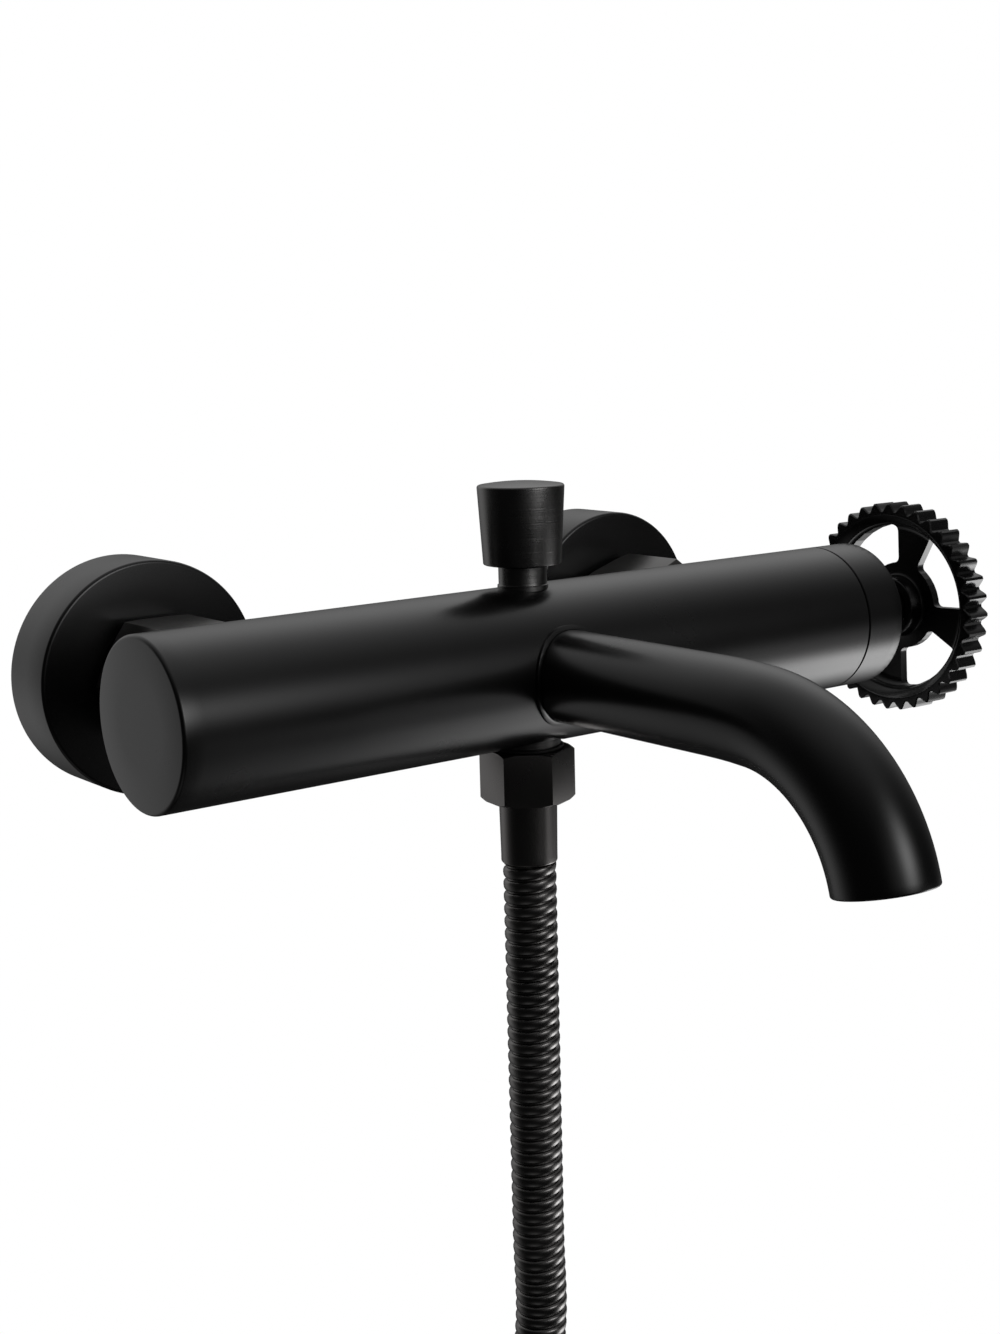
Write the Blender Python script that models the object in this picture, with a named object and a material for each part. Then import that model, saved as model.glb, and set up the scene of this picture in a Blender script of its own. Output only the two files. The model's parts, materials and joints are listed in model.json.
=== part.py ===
"""Wall mounted bath faucet with a gear shaped handwheel, a pull-up diverter and a hanging hose.

The origin lies on the wall, midway between the inlets, at the height of the body's axis.
+X runs along the body to the handwheel, -Y points out of the wall and +Z is up. Metres.
"""

import math

import bmesh
import bpy
from mathutils import Vector

GAP = 0.0003  # clearance between faces that meet

# Body: a round casting with a blind left end
BODY_RADIUS = 0.020
BODY_BACK = 0.052  # the body's near side, from the wall
BODY_OUT = BODY_BACK + BODY_RADIUS  # the body's axis, from the wall
BODY_LEFT = 0.106  # left end, from the middle
BODY_RIGHT = 0.1043  # right end of the casting, from the middle
BODY_WALL = 0.0035
DIVERTER_BLOCK = 0.014  # half length of the solid block around the diverter
HOT_WAY_RADIUS = 0.0032
HOT_WAY_WALL = 0.0012  # between the hot way and the diverter's bore
HOT_WAY_DROP = 0.0050  # below the body's axis

# End ring past the thin groove
GROOVE = 0.0004
RING_LENGTH = 0.0134
RING_WALL = 0.0024
CARTRIDGE_NUT_LENGTH = 0.0043  # inside the end ring
EDGE = 0.0008  # small turned edge break

# Inlets
INLET_SPACING = 0.150
BOSS_RADIUS = 0.0130
BOSS_RISE = 0.0025  # past the back of the body
PORT_RADIUS = 0.0091
TAIL_BORE = 0.0070
TAIL_NECK_RADIUS = 0.0105
TAIL_NECK = 0.0125
TAIL_FLANGE = 0.0025
UNION_THREAD_RADIUS = 0.0132
UNION_THREAD_LENGTH = 0.0245
GASKET = 0.0020
NUT_FLATS = 0.030  # across flats
NUT_LENGTH = 0.0225
NUT_LIP = 0.0065
NUT_CHAMFER = 0.13  # share of a nut's corner radius
PIPE_THREAD_RADIUS = 0.0104
PIPE_THREAD_BEHIND = 0.018  # behind the wall
ECCENTRICITY = 0.006
ESCUTCHEON_RADIUS = 0.0295
ESCUTCHEON_DEPTH = 0.0185
ESCUTCHEON_WALL = 0.0014
ESCUTCHEON_SAG = 0.0005  # it hangs on the union's thread by its clearance

# Cartridge, along the body's axis
CARTRIDGE_RADIUS = 0.0125
SEAT_DEPTH = 0.0243
SEAL_THICKNESS = 0.0012
BASE_THICKNESS = 0.0019
DISC_THICKNESS = 0.0033
CARRIER_LENGTH = 0.0052
HOUSING_WALL = 0.0009
HOUSING_END = 0.0028
HOUSING_NECK_RADIUS = 0.0070
HOUSING_NECK = 0.0080
WAY_HOLE_RADIUS = 0.0026
WAY_CIRCLE = 0.0082
HOT_ANGLE = math.radians(-25)  # from the wall side towards up
COLD_ANGLE = math.radians(33)
MIXED_ANGLE = math.radians(180)
POCKET_OUTER = 0.0098  # the kidney pocket under the moving disc
POCKET_INNER = 0.0041
POCKET_HALF = 80  # degrees
SPINDLE_RADIUS = 0.0040
SEAL_SECTION = 0.0006  # radius of an O-ring's section

# Handle
STEM_RADIUS = 0.0060
STEM_CLEARANCE = 0.0006
STEM_GAP = 0.0167  # from the end ring to the wheel's boss
STEM_SOCKET = 0.0012
STEM_CROWN = 0.0045  # solid end past the spindle
WHEEL_RADIUS = 0.0302
TOOTH_DEPTH = 0.0022
TEETH = 36
TOOTH_FOOT = 0.36  # half widths, as shares of the pitch
TOOTH_TIP = 0.14
WHEEL_OFFSET = 0.0160  # from the end ring to the rim's near face
WHEEL_WIDTH = 0.0080
RIM_NEAR_RADIUS = 0.0258
RIM_FAR_RADIUS = 0.0240
WEB_THICKNESS = 0.0025
HUB_RADIUS = 0.0126
BOSS_HUB_RADIUS = 0.0085
WINDOW_HALF = math.radians(29.5)
SPOKE_ANGLE = math.radians(77.0)  # first spoke, from straight out towards up
SPOKES = 4
SCREW_RADIUS = 0.0019
SCREW_HEAD_RADIUS = 0.0034
SCREW_HEAD = 0.0022
SCREW_LENGTH = 0.0115
CAP_RADIUS = 0.0060
CAP_THICKNESS = 0.0018
CAP_DOME = 0.0005

# Spout
SPOUT_RADIUS = 0.0114
SPOUT_WALL = 0.0016
SPOUT_DROP = 0.0007  # its root below the body's axis
SPOUT_STRAIGHT = 0.0496
SPOUT_BENDS = ((0.1500, 5.0), (0.0397, 77.7))  # radius, and the slope in degrees it reaches
SPOUT_STEP = 9  # degrees between its rings
COLLAR_WALL = 0.0008
COLLAR_RISE = 0.0008
SPOUT_PORT_RADIUS = 0.0080
NIPPLE_BORE = 0.0055
SPOUT_NIPPLE_GRIP = 0.0078
AERATOR_LENGTH = 0.0050
AERATOR_WASHER = 0.0012
AERATOR_RECESS = 0.0008
AERATOR_WALL = 0.0012
AERATOR_LIP = 0.0010
AERATOR_HOLES = 8
AERATOR_HOLE_RADIUS = 0.0011
AERATOR_HOLE_CIRCLE = 0.0050

# Diverter
BONNET_RADIUS = 0.0060
BONNET_GRIP = 0.0115
KNOB_BOTTOM = 0.0054  # above the body
KNOB_HEIGHT = 0.0196
KNOB_TOP_RADIUS = 0.0108
KNOB_BOTTOM_RADIUS = 0.0097
KNOB_DOME = 0.0008
DOME_SHOULDER = 0.0060  # radius where the dome levels off
KNOB_BORE = 0.0120
ROD_RADIUS = 0.0020
DIVERTER_BORE = 0.0075
SLEEVE_WALL = 0.0013
SEAT_THICKNESS = 0.0020
SEAT_RADIUS = 0.0043
SEAT_HEIGHT = -0.0005  # underside of the upper seat
SIDE_HOLE_RADIUS = 0.0028
PLUNGER_RADIUS = 0.0050
PLUNGER_THICKNESS = 0.0018
PLUNGER_SEAL = 0.0011
SPRING_RADIUS = 0.0035
SPRING_WIRE = 0.0004
SPRING_TURNS = 5
SPRING_STEPS = 10  # for each turn

# Shower outlet and hose end
OUTLET_RADIUS = 0.0090
OUTLET_GRIP = 0.0045
OUTLET_LENGTH = 0.0115
HOSE_NUT_DROP = 0.0009  # below the body
HOSE_NUT_HEIGHT = 0.0133
HOSE_NUT_CORNER = 0.0120  # corner radius
HOSE_NUT_LIP = 0.0030
HOSE_NUT_TURN = math.radians(-7)  # one flat faces the front left
WASHER = 0.0020
INSERT_FLANGE = 0.0013
INSERT_RADIUS = 0.0058
INSERT_BORE = 0.0045
FERRULE_RADIUS = 0.00735
FERRULE_LENGTH = 0.0159

# Hose
HOSE_RADIUS = 0.0068
HOSE_POINT_SPACING = 0.028
HOSE_DROPS = (  # sideways and down from the hose's top, which is under the body's outlet
    (0.0, 0.0),
    (0.0, 0.0343),
    (0.0, 0.0693),
    (0.0, 0.1013),
    (0.0, 0.1273),
    (-0.0055, 0.1536),
    (-0.0177, 0.1736),
)
COIL_RADIUS = 0.064
COIL_SIDE = -0.005  # the coil's axis is this far to the side of the hose's top
COIL_DROP = 0.2516  # and this far under it
COIL_START = math.radians(135)  # where the hose joins the first turn
COIL_TURNS = 3.125
COIL_PITCH = 0.014  # towards the wall
LEAD_LENGTH = 0.0432
TAIL_LENGTH = 0.0460
TIE_WIDTH = 0.012
TIE_THICKNESS = 0.0012
FAR_NUT_LENGTH = 0.028
FAR_NUT_TOP_RADIUS = 0.0090
FAR_NUT_BOTTOM_RADIUS = 0.0120
FAR_THREAD_RADIUS = 0.0104
FAR_THREAD_DEPTH = 0.0130

FINE = 36
MEDIUM = 20
COARSE = 12

ALONG_X = (0.0, math.pi / 2, 0.0)
TO_WALL = (-math.pi / 2, 0.0, 0.0)
FROM_WALL = (math.pi / 2, 0.0, 0.0)
UPRIGHT = (0.0, 0.0, 0.0)

BLACK_COATING = ((0.020, 0.020, 0.021), 0.0, 0.38)
DARK_METAL = ((0.130, 0.128, 0.126), 1.0, 0.27)
HOSE_METAL = ((0.170, 0.164, 0.161), 1.0, 0.27)
BRASS = ((0.62, 0.46, 0.20), 1.0, 0.35)
STEEL = ((0.55, 0.55, 0.56), 1.0, 0.30)
RUBBER = ((0.015, 0.015, 0.015), 0.0, 0.70)
PLASTIC = ((0.60, 0.60, 0.58), 0.0, 0.50)
CERAMIC = ((0.85, 0.84, 0.80), 0.0, 0.20)


def clear_scene():
    for obj in list(bpy.data.objects):
        bpy.data.objects.remove(obj, do_unlink=True)


def finish_of(name, recipe):
    """A Principled material for one piece."""
    colour, metallic, roughness = recipe
    material = bpy.data.materials.new(name)
    material.use_nodes = True
    shader = material.node_tree.nodes["Principled BSDF"]
    shader.inputs["Base Color"].default_value = (*colour, 1.0)
    shader.inputs["Metallic"].default_value = metallic
    shader.inputs["Roughness"].default_value = roughness
    return material


def new_object(name, bm, recipe=None, location=(0, 0, 0), rotation=UPRIGHT):
    """A named object from a bmesh; without a recipe it is a hidden cutter."""
    bmesh.ops.recalc_face_normals(bm, faces=bm.faces)
    mesh = bpy.data.meshes.new(name)
    bm.to_mesh(mesh)
    bm.free()
    mesh.shade_smooth()
    mesh.set_sharp_from_angle(angle=math.radians(35))
    obj = bpy.data.objects.new(name, mesh)
    obj.location = location
    obj.rotation_euler = rotation
    bpy.context.collection.objects.link(obj)
    if recipe is None:
        obj.hide_render = True
        obj.display_type = "WIRE"
    else:
        mesh.materials.append(finish_of(name, recipe))
    return obj


def turned_bmesh(profile, segments):
    """A solid of revolution about Z from (radius, height) pairs.

    A profile that starts and ends on the axis is a plug; any other one is closed into a ring.
    """
    bm = bmesh.new()
    points = [bm.verts.new((radius, 0.0, height)) for radius, height in profile]
    edges = [bm.edges.new(pair) for pair in zip(points, points[1:])]
    if profile[0][0] > 0.0:
        edges.append(bm.edges.new((points[-1], points[0])))
    bmesh.ops.spin(
        bm, geom=points + edges, cent=(0, 0, 0), axis=(0, 0, 1),
        angle=2 * math.pi, steps=segments, use_merge=True,
    )
    bmesh.ops.remove_doubles(bm, verts=bm.verts, dist=1e-7)
    return bm


def turned(name, profile, recipe=None, location=(0, 0, 0), rotation=UPRIGHT, segments=MEDIUM):
    return new_object(name, turned_bmesh(profile, segments), recipe, location, rotation)


def rod_profile(radius, low, high, edge=0.0):
    """A solid cylinder's profile, with broken edges if edge is set."""
    if edge == 0.0:
        return [(0.0, low), (radius, low), (radius, high), (0.0, high)]
    return [
        (0.0, low), (radius - edge, low), (radius, low + edge),
        (radius, high - edge), (radius - edge, high), (0.0, high),
    ]


def ring_profile(inner, outer, low, high):
    return [(inner, low), (outer, low), (outer, high), (inner, high)]


def o_ring(name, radius, location, rotation, sides=6):
    """A round seal ring, as a turned hexagon."""
    profile = [
        (
            radius + SEAL_SECTION * math.cos(2 * math.pi * (k + 0.5) / sides),
            SEAL_SECTION * math.sin(2 * math.pi * (k + 0.5) / sides),
        )
        for k in range(sides)
    ]
    return turned(name, profile, RUBBER, location, rotation)


def prism_bmesh(outline, low, high):
    """A flat outline, as (x, y) pairs, extruded along Z."""
    bm = bmesh.new()
    face = bm.faces.new([bm.verts.new((x, y, low)) for x, y in outline])
    grown = bmesh.ops.extrude_face_region(bm, geom=[face])
    raised = [item for item in grown["geom"] if isinstance(item, bmesh.types.BMVert)]
    bmesh.ops.translate(bm, verts=raised, vec=(0, 0, high - low))
    return bm


def boolean(obj, tool, operation="DIFFERENCE"):
    modifier = obj.modifiers.new(tool.name, "BOOLEAN")
    modifier.operation = operation
    modifier.solver = "EXACT"
    modifier.object = tool


def cut_round(obj, name, radius, low, high, location, rotation=UPRIGHT, segments=MEDIUM):
    """Bore obj with a plain cylinder."""
    profile = rod_profile(radius, low, high)
    boolean(obj, turned(name, profile, None, location, rotation, segments))


def group_axis(name, location):
    """An empty on a joint's axis, which carries the pieces that move with it."""
    empty = bpy.data.objects.new(name, None)
    empty.location = location
    bpy.context.collection.objects.link(empty)
    return empty


def carry(empty, *pieces):
    for piece in pieces:
        piece.parent = empty
        piece.location = piece.location - empty.location


def hexagon(corner_radius, turn=0.0):
    return [
        (
            corner_radius * math.cos(turn + math.radians(60 * k)),
            corner_radius * math.sin(turn + math.radians(60 * k)),
        )
        for k in range(6)
    ]


def hexagon_nut(name, corner_radius, low, high, bores, recipe, location, rotation, turn=0.0):
    """A chamfered hexagon nut; bores are (radius, low, high) cuts on its axis."""
    nut = new_object(
        name, prism_bmesh(hexagon(corner_radius, turn), low, high), recipe, location, rotation
    )
    chamfer = corner_radius * NUT_CHAMFER
    drop = chamfer * math.tan(math.radians(30))
    rim = corner_radius - chamfer
    over = rim + 2 * chamfer
    profile = [
        (0.0, low - GAP), (rim - GAP, low - GAP), (over, low + 2 * drop),
        (over, high - 2 * drop), (rim - GAP, high + GAP), (0.0, high + GAP),
    ]
    boolean(nut, turned(name + "_chamfer", profile, None, location, rotation), "INTERSECT")
    for number, (radius, start, end) in enumerate(bores):
        cut_round(nut, f"{name}_bore_{number}", radius, start, end, location, rotation)
    return nut


# ---- body -------------------------------------------------------------------------------

AXIS = (0.0, -BODY_OUT, 0.0)
BORE_RADIUS = BODY_RADIUS - BODY_WALL
SEAT_X = BODY_RIGHT - SEAT_DEPTH
CARTRIDGE_SEAT_RADIUS = CARTRIDGE_RADIUS + GAP
HOT_WAY_BACK = DIVERTER_BORE + HOT_WAY_WALL + HOT_WAY_RADIUS  # behind the body's axis
INLET_X = INLET_SPACING / 2
BOSS_FACE = -BODY_OUT + BODY_RADIUS + BOSS_RISE
PORT_DEPTH = 0.0047  # of an inlet's tail in its boss
SLEEVE_RADIUS = DIVERTER_BORE - GAP
SLEEVE_TOP = BODY_RADIUS - BONNET_GRIP - GAP * 2
OUTLET_TOP = -BODY_RADIUS + OUTLET_GRIP
SLEEVE_BOTTOM = OUTLET_TOP + GAP * 2
CHAMBER_FLOOR = SLEEVE_BOTTOM + SEAT_THICKNESS
INLET_HOLE_Z = -0.0050
SPOUT_HOLE_Z = SEAT_HEIGHT + SEAT_THICKNESS + SIDE_HOLE_RADIUS + GAP


def turned_pair(name, profile):
    """The same cutter at both inlets, along +Y."""
    bm = turned_bmesh(profile, MEDIUM)
    bmesh.ops.translate(bm, verts=bm.verts, vec=(-INLET_X, 0, 0))
    copy = bmesh.ops.duplicate(bm, geom=bm.verts[:] + bm.edges[:] + bm.faces[:])
    moved = [item for item in copy["geom"] if isinstance(item, bmesh.types.BMVert)]
    bmesh.ops.translate(bm, verts=moved, vec=(INLET_SPACING, 0, 0))
    return new_object(name, bm, None, (0.0, 0.0, 0.0), TO_WALL)


def way_spot(angle):
    """Where a water way meets the cartridge, on a circle about the body's axis."""
    return (0.0, -BODY_OUT + WAY_CIRCLE * math.cos(angle), WAY_CIRCLE * math.sin(angle))


def body_cavities(body):
    """The hot chamber on the left, the hot way past the diverter, and the mixed chamber."""
    left = turned(
        "hot_chamber", rod_profile(BORE_RADIUS, BODY_WALL - BODY_LEFT, -DIVERTER_BLOCK),
        None, AXIS, ALONG_X, FINE,
    )
    boolean(body, left)
    mixed = turned(
        "mixed_chamber", rod_profile(BORE_RADIUS, DIVERTER_BLOCK, INLET_X - BOSS_RADIUS),
        None, AXIS, ALONG_X, FINE,
    )
    way_centre = (0.0, -BODY_OUT + HOT_WAY_BACK, -HOT_WAY_DROP)
    pipe = turned(
        "hot_pipe_wall",
        rod_profile(HOT_WAY_RADIUS + BODY_WALL / 2, -DIVERTER_BLOCK, INLET_X),
        None, way_centre, ALONG_X,
    )
    boolean(mixed, pipe)
    boolean(body, mixed)
    cut_round(
        body, "hot_way", HOT_WAY_RADIUS, -DIVERTER_BLOCK - BODY_WALL, SEAT_X - BODY_WALL / 2,
        way_centre, ALONG_X, COARSE,
    )
    seat_ways = (
        ("hot_pocket", HOT_ANGLE, SEAT_X - BODY_WALL),
        ("cold_way", COLD_ANGLE, INLET_X),
        ("mixed_way", MIXED_ANGLE, INLET_X - BOSS_RADIUS - BODY_WALL),
    )
    for name, angle, start in seat_ways:
        cut_round(
            body, name, WAY_HOLE_RADIUS, start, SEAT_X + GAP, way_spot(angle), ALONG_X, COARSE
        )
    cut_round(
        body, "cold_drop", WAY_HOLE_RADIUS + GAP, way_spot(COLD_ANGLE)[1], BOSS_FACE - PORT_DEPTH,
        (INLET_X, 0.0, way_spot(COLD_ANGLE)[2]), TO_WALL, COARSE,
    )
    cut_round(
        body, "diverter_feed", SIDE_HOLE_RADIUS, DIVERTER_BORE / 2, DIVERTER_BLOCK + GAP,
        (0.0, -BODY_OUT, INLET_HOLE_Z), ALONG_X, COARSE,
    )


def make_body():
    profile = rod_profile(BODY_RADIUS, -BODY_LEFT, BODY_RIGHT)
    profile[1:2] = [(BODY_RADIUS - EDGE, -BODY_LEFT), (BODY_RADIUS, EDGE - BODY_LEFT)]
    body = turned("body", profile, BLACK_COATING, AXIS, ALONG_X, FINE)
    inside = -BODY_OUT + BODY_RADIUS / 2
    boolean(body, turned_pair("bosses", rod_profile(BOSS_RADIUS, inside, BOSS_FACE)), "UNION")
    floor = BOSS_FACE - PORT_DEPTH - GAP
    cut_round(
        body, "left_port_way", TAIL_BORE, -BODY_OUT, floor + GAP / 2, (-INLET_X, 0.0, 0.0), TO_WALL
    )
    body_cavities(body)
    cut_round(
        body, "cartridge_seat", CARTRIDGE_SEAT_RADIUS, SEAT_X, BODY_RIGHT + GAP,
        AXIS, ALONG_X, FINE,
    )
    cut_round(body, "diverter_bore", DIVERTER_BORE, -BODY_RADIUS, SLEEVE_TOP + GAP, AXIS)
    cut_round(body, "bonnet_bore", BONNET_RADIUS + GAP, SLEEVE_TOP, BODY_RADIUS + EDGE, AXIS)
    cut_round(
        body, "outlet_bore", OUTLET_RADIUS + GAP, -BODY_RADIUS - EDGE, OUTLET_TOP + GAP, AXIS
    )
    cut_round(
        body, "spout_port", SPOUT_PORT_RADIUS, BODY_OUT + DIVERTER_BORE - BODY_WALL / 2,
        BODY_OUT + BODY_RADIUS + EDGE, (0.0, 0.0, -SPOUT_DROP), FROM_WALL,
    )
    boolean(body, turned_pair("ports", rod_profile(PORT_RADIUS, floor, BOSS_FACE + GAP)))


# ---- cartridge and handle, along the body's axis ---------------------------------------

RING_START = BODY_RIGHT + GROOVE
RING_END = RING_START + RING_LENGTH
SEAL_START = SEAT_X + GAP
HOUSING_START = SEAL_START + SEAL_THICKNESS + GAP
FIXED_DISC = HOUSING_START + BASE_THICKNESS + GAP
MOVING_DISC = FIXED_DISC + DISC_THICKNESS + GAP
CARRIER_START = MOVING_DISC + DISC_THICKNESS + GAP
CARRIER_END = CARRIER_START + CARRIER_LENGTH
HOUSING_END_X = CARRIER_END + GAP * 2 + HOUSING_END
NUT_START = HOUSING_END_X + GAP
INNER_RADIUS = CARTRIDGE_RADIUS - HOUSING_WALL
BOSS_START = RING_END + STEM_GAP
STEM_START = RING_END - RING_LENGTH / 2
STEM_END = BOSS_START + STEM_SOCKET
WHEEL_START = RING_END + WHEEL_OFFSET
WHEEL_END = WHEEL_START + WHEEL_WIDTH
WEB_START = WHEEL_END - WEB_THICKNESS
HUB_WALL_START = STEM_END + GAP
CAP_FLOOR = WHEEL_END - CAP_THICKNESS
HEAD_END = CAP_FLOOR - GAP
HEAD_START = HEAD_END - SCREW_HEAD
SPINDLE_END = STEM_END - STEM_CROWN


def ways(obj, name, low, high):
    """Round water ways through a cartridge piece, in line with the body's."""
    for number, angle in enumerate((HOT_ANGLE, COLD_ANGLE, MIXED_ANGLE)):
        cut_round(
            obj, f"{name}_way_{number}", WAY_HOLE_RADIUS, low - GAP, high + GAP,
            way_spot(angle), ALONG_X, COARSE,
        )


def make_cartridge():
    """The parts that stay: seal, base, housing, fixed disc, retaining nut and end ring."""
    seal_end = SEAL_START + SEAL_THICKNESS
    seal = turned(
        "cartridge_seal", rod_profile(CARTRIDGE_RADIUS - GAP, SEAL_START, seal_end),
        RUBBER, AXIS, ALONG_X,
    )
    ways(seal, "cartridge_seal", SEAL_START, seal_end)
    base_end = HOUSING_START + BASE_THICKNESS
    base = turned(
        "cartridge_base", rod_profile(INNER_RADIUS - GAP, HOUSING_START, base_end),
        PLASTIC, AXIS, ALONG_X,
    )
    ways(base, "cartridge_base", HOUSING_START, base_end)
    disc_end = FIXED_DISC + DISC_THICKNESS
    disc = turned(
        "ceramic_disc_fixed", rod_profile(INNER_RADIUS - GAP, FIXED_DISC, disc_end),
        CERAMIC, AXIS, ALONG_X,
    )
    ways(disc, "ceramic_disc_fixed", FIXED_DISC, disc_end)
    neck_end = HOUSING_END_X + HOUSING_NECK
    groove_low = HOUSING_END_X + HOUSING_NECK / 2 - SEAL_SECTION - GAP
    groove_high = groove_low + 2 * (SEAL_SECTION + GAP)
    bore = SPINDLE_RADIUS + GAP
    groove = SPINDLE_RADIUS + GAP + 2 * SEAL_SECTION + GAP
    turned(
        "cartridge_housing",
        [
            (INNER_RADIUS, HOUSING_START), (CARTRIDGE_RADIUS, HOUSING_START),
            (CARTRIDGE_RADIUS, HOUSING_END_X), (HOUSING_NECK_RADIUS, HOUSING_END_X),
            (HOUSING_NECK_RADIUS, neck_end), (bore, neck_end), (bore, groove_high),
            (groove, groove_high), (groove, groove_low), (bore, groove_low),
            (bore, HOUSING_END_X - HOUSING_END), (INNER_RADIUS, HOUSING_END_X - HOUSING_END),
        ],
        PLASTIC, AXIS, ALONG_X,
    )
    o_ring(
        "spindle_seal", bore + SEAL_SECTION,
        (HOUSING_END_X + HOUSING_NECK / 2, -BODY_OUT, 0.0), ALONG_X,
    )
    flange = BODY_RADIUS - RING_WALL - GAP
    nut_inner = HOUSING_NECK_RADIUS + GAP
    nut_end = RING_START + GROOVE + CARTRIDGE_NUT_LENGTH
    turned(
        "cartridge_nut",
        [
            (nut_inner, NUT_START), (CARTRIDGE_RADIUS, NUT_START),
            (CARTRIDGE_RADIUS, RING_START + GROOVE), (flange, RING_START + GROOVE),
            (flange, nut_end), (nut_inner, nut_end),
        ],
        BRASS, AXIS, ALONG_X,
    )
    hole = STEM_RADIUS + STEM_CLEARANCE
    inside = BODY_RADIUS - RING_WALL
    turned(
        "end_ring",
        [
            (inside, RING_START), (BODY_RADIUS, RING_START), (BODY_RADIUS, RING_END - EDGE),
            (BODY_RADIUS - EDGE, RING_END), (hole, RING_END), (hole, RING_END - RING_WALL),
            (inside, RING_END - RING_WALL),
        ],
        BLACK_COATING, AXIS, ALONG_X, FINE,
    )


def wheel_point(radius, angle):
    """A point in the wheel's plane; the angle runs from straight out of the wall towards up."""
    return (-radius * math.sin(angle), -radius * math.cos(angle))


def wheel_outline():
    """The toothed rim: rounded teeth, one of them pointing straight out."""
    pitch = 2 * math.pi / TEETH
    root = WHEEL_RADIUS - TOOTH_DEPTH
    outline = []
    for tooth in range(TEETH):
        middle = tooth * pitch
        outline += [
            wheel_point(root, middle - TOOTH_FOOT * pitch),
            wheel_point(WHEEL_RADIUS, middle - TOOTH_TIP * pitch),
            wheel_point(WHEEL_RADIUS, middle + TOOTH_TIP * pitch),
            wheel_point(root, middle + TOOTH_FOOT * pitch),
        ]
    return outline


def window_outline(middle):
    """One of the openings between two spokes."""
    steps = 6
    sweep = [middle - WINDOW_HALF + 2 * WINDOW_HALF * k / steps for k in range(steps + 1)]
    outer = [wheel_point(RIM_FAR_RADIUS - GAP, angle) for angle in sweep]
    inner = [wheel_point(HUB_RADIUS, angle) for angle in reversed(sweep)]
    return outer + inner


def make_handwheel():
    wheel = new_object(
        "handwheel", prism_bmesh(wheel_outline(), WHEEL_START, WHEEL_END),
        BLACK_COATING, AXIS, ALONG_X,
    )
    dish = turned(
        "wheel_dish",
        [
            (BOSS_HUB_RADIUS, WHEEL_START - EDGE), (RIM_NEAR_RADIUS, WHEEL_START - EDGE),
            (RIM_NEAR_RADIUS, WHEEL_START), (RIM_FAR_RADIUS, WEB_START),
            (BOSS_HUB_RADIUS, WEB_START),
        ],
        None, AXIS, ALONG_X, FINE,
    )
    boolean(wheel, dish)
    cut_round(
        wheel, "wheel_front", BOSS_HUB_RADIUS + EDGE, WHEEL_START - EDGE, BOSS_START,
        AXIS, ALONG_X, FINE,
    )
    for spoke in range(SPOKES):
        middle = SPOKE_ANGLE + math.pi / SPOKES + 2 * math.pi * spoke / SPOKES
        window = new_object(
            f"wheel_window_{spoke}",
            prism_bmesh(window_outline(middle), WEB_START - EDGE, WHEEL_END + EDGE),
            None, AXIS, ALONG_X,
        )
        boolean(wheel, window)
    cut_round(
        wheel, "wheel_socket", STEM_RADIUS + GAP, BOSS_START - EDGE, HUB_WALL_START,
        AXIS, ALONG_X,
    )
    cut_round(
        wheel, "wheel_screw_hole", SCREW_RADIUS + GAP, HUB_WALL_START - EDGE, WHEEL_END,
        AXIS, ALONG_X, COARSE,
    )
    cut_round(
        wheel, "wheel_head_hole", SCREW_HEAD_RADIUS + GAP, HEAD_START - GAP, WHEEL_END,
        AXIS, ALONG_X, COARSE,
    )
    cut_round(
        wheel, "wheel_cap_hole", CAP_RADIUS + GAP, CAP_FLOOR - GAP, WHEEL_END + EDGE,
        AXIS, ALONG_X,
    )
    return wheel


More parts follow.
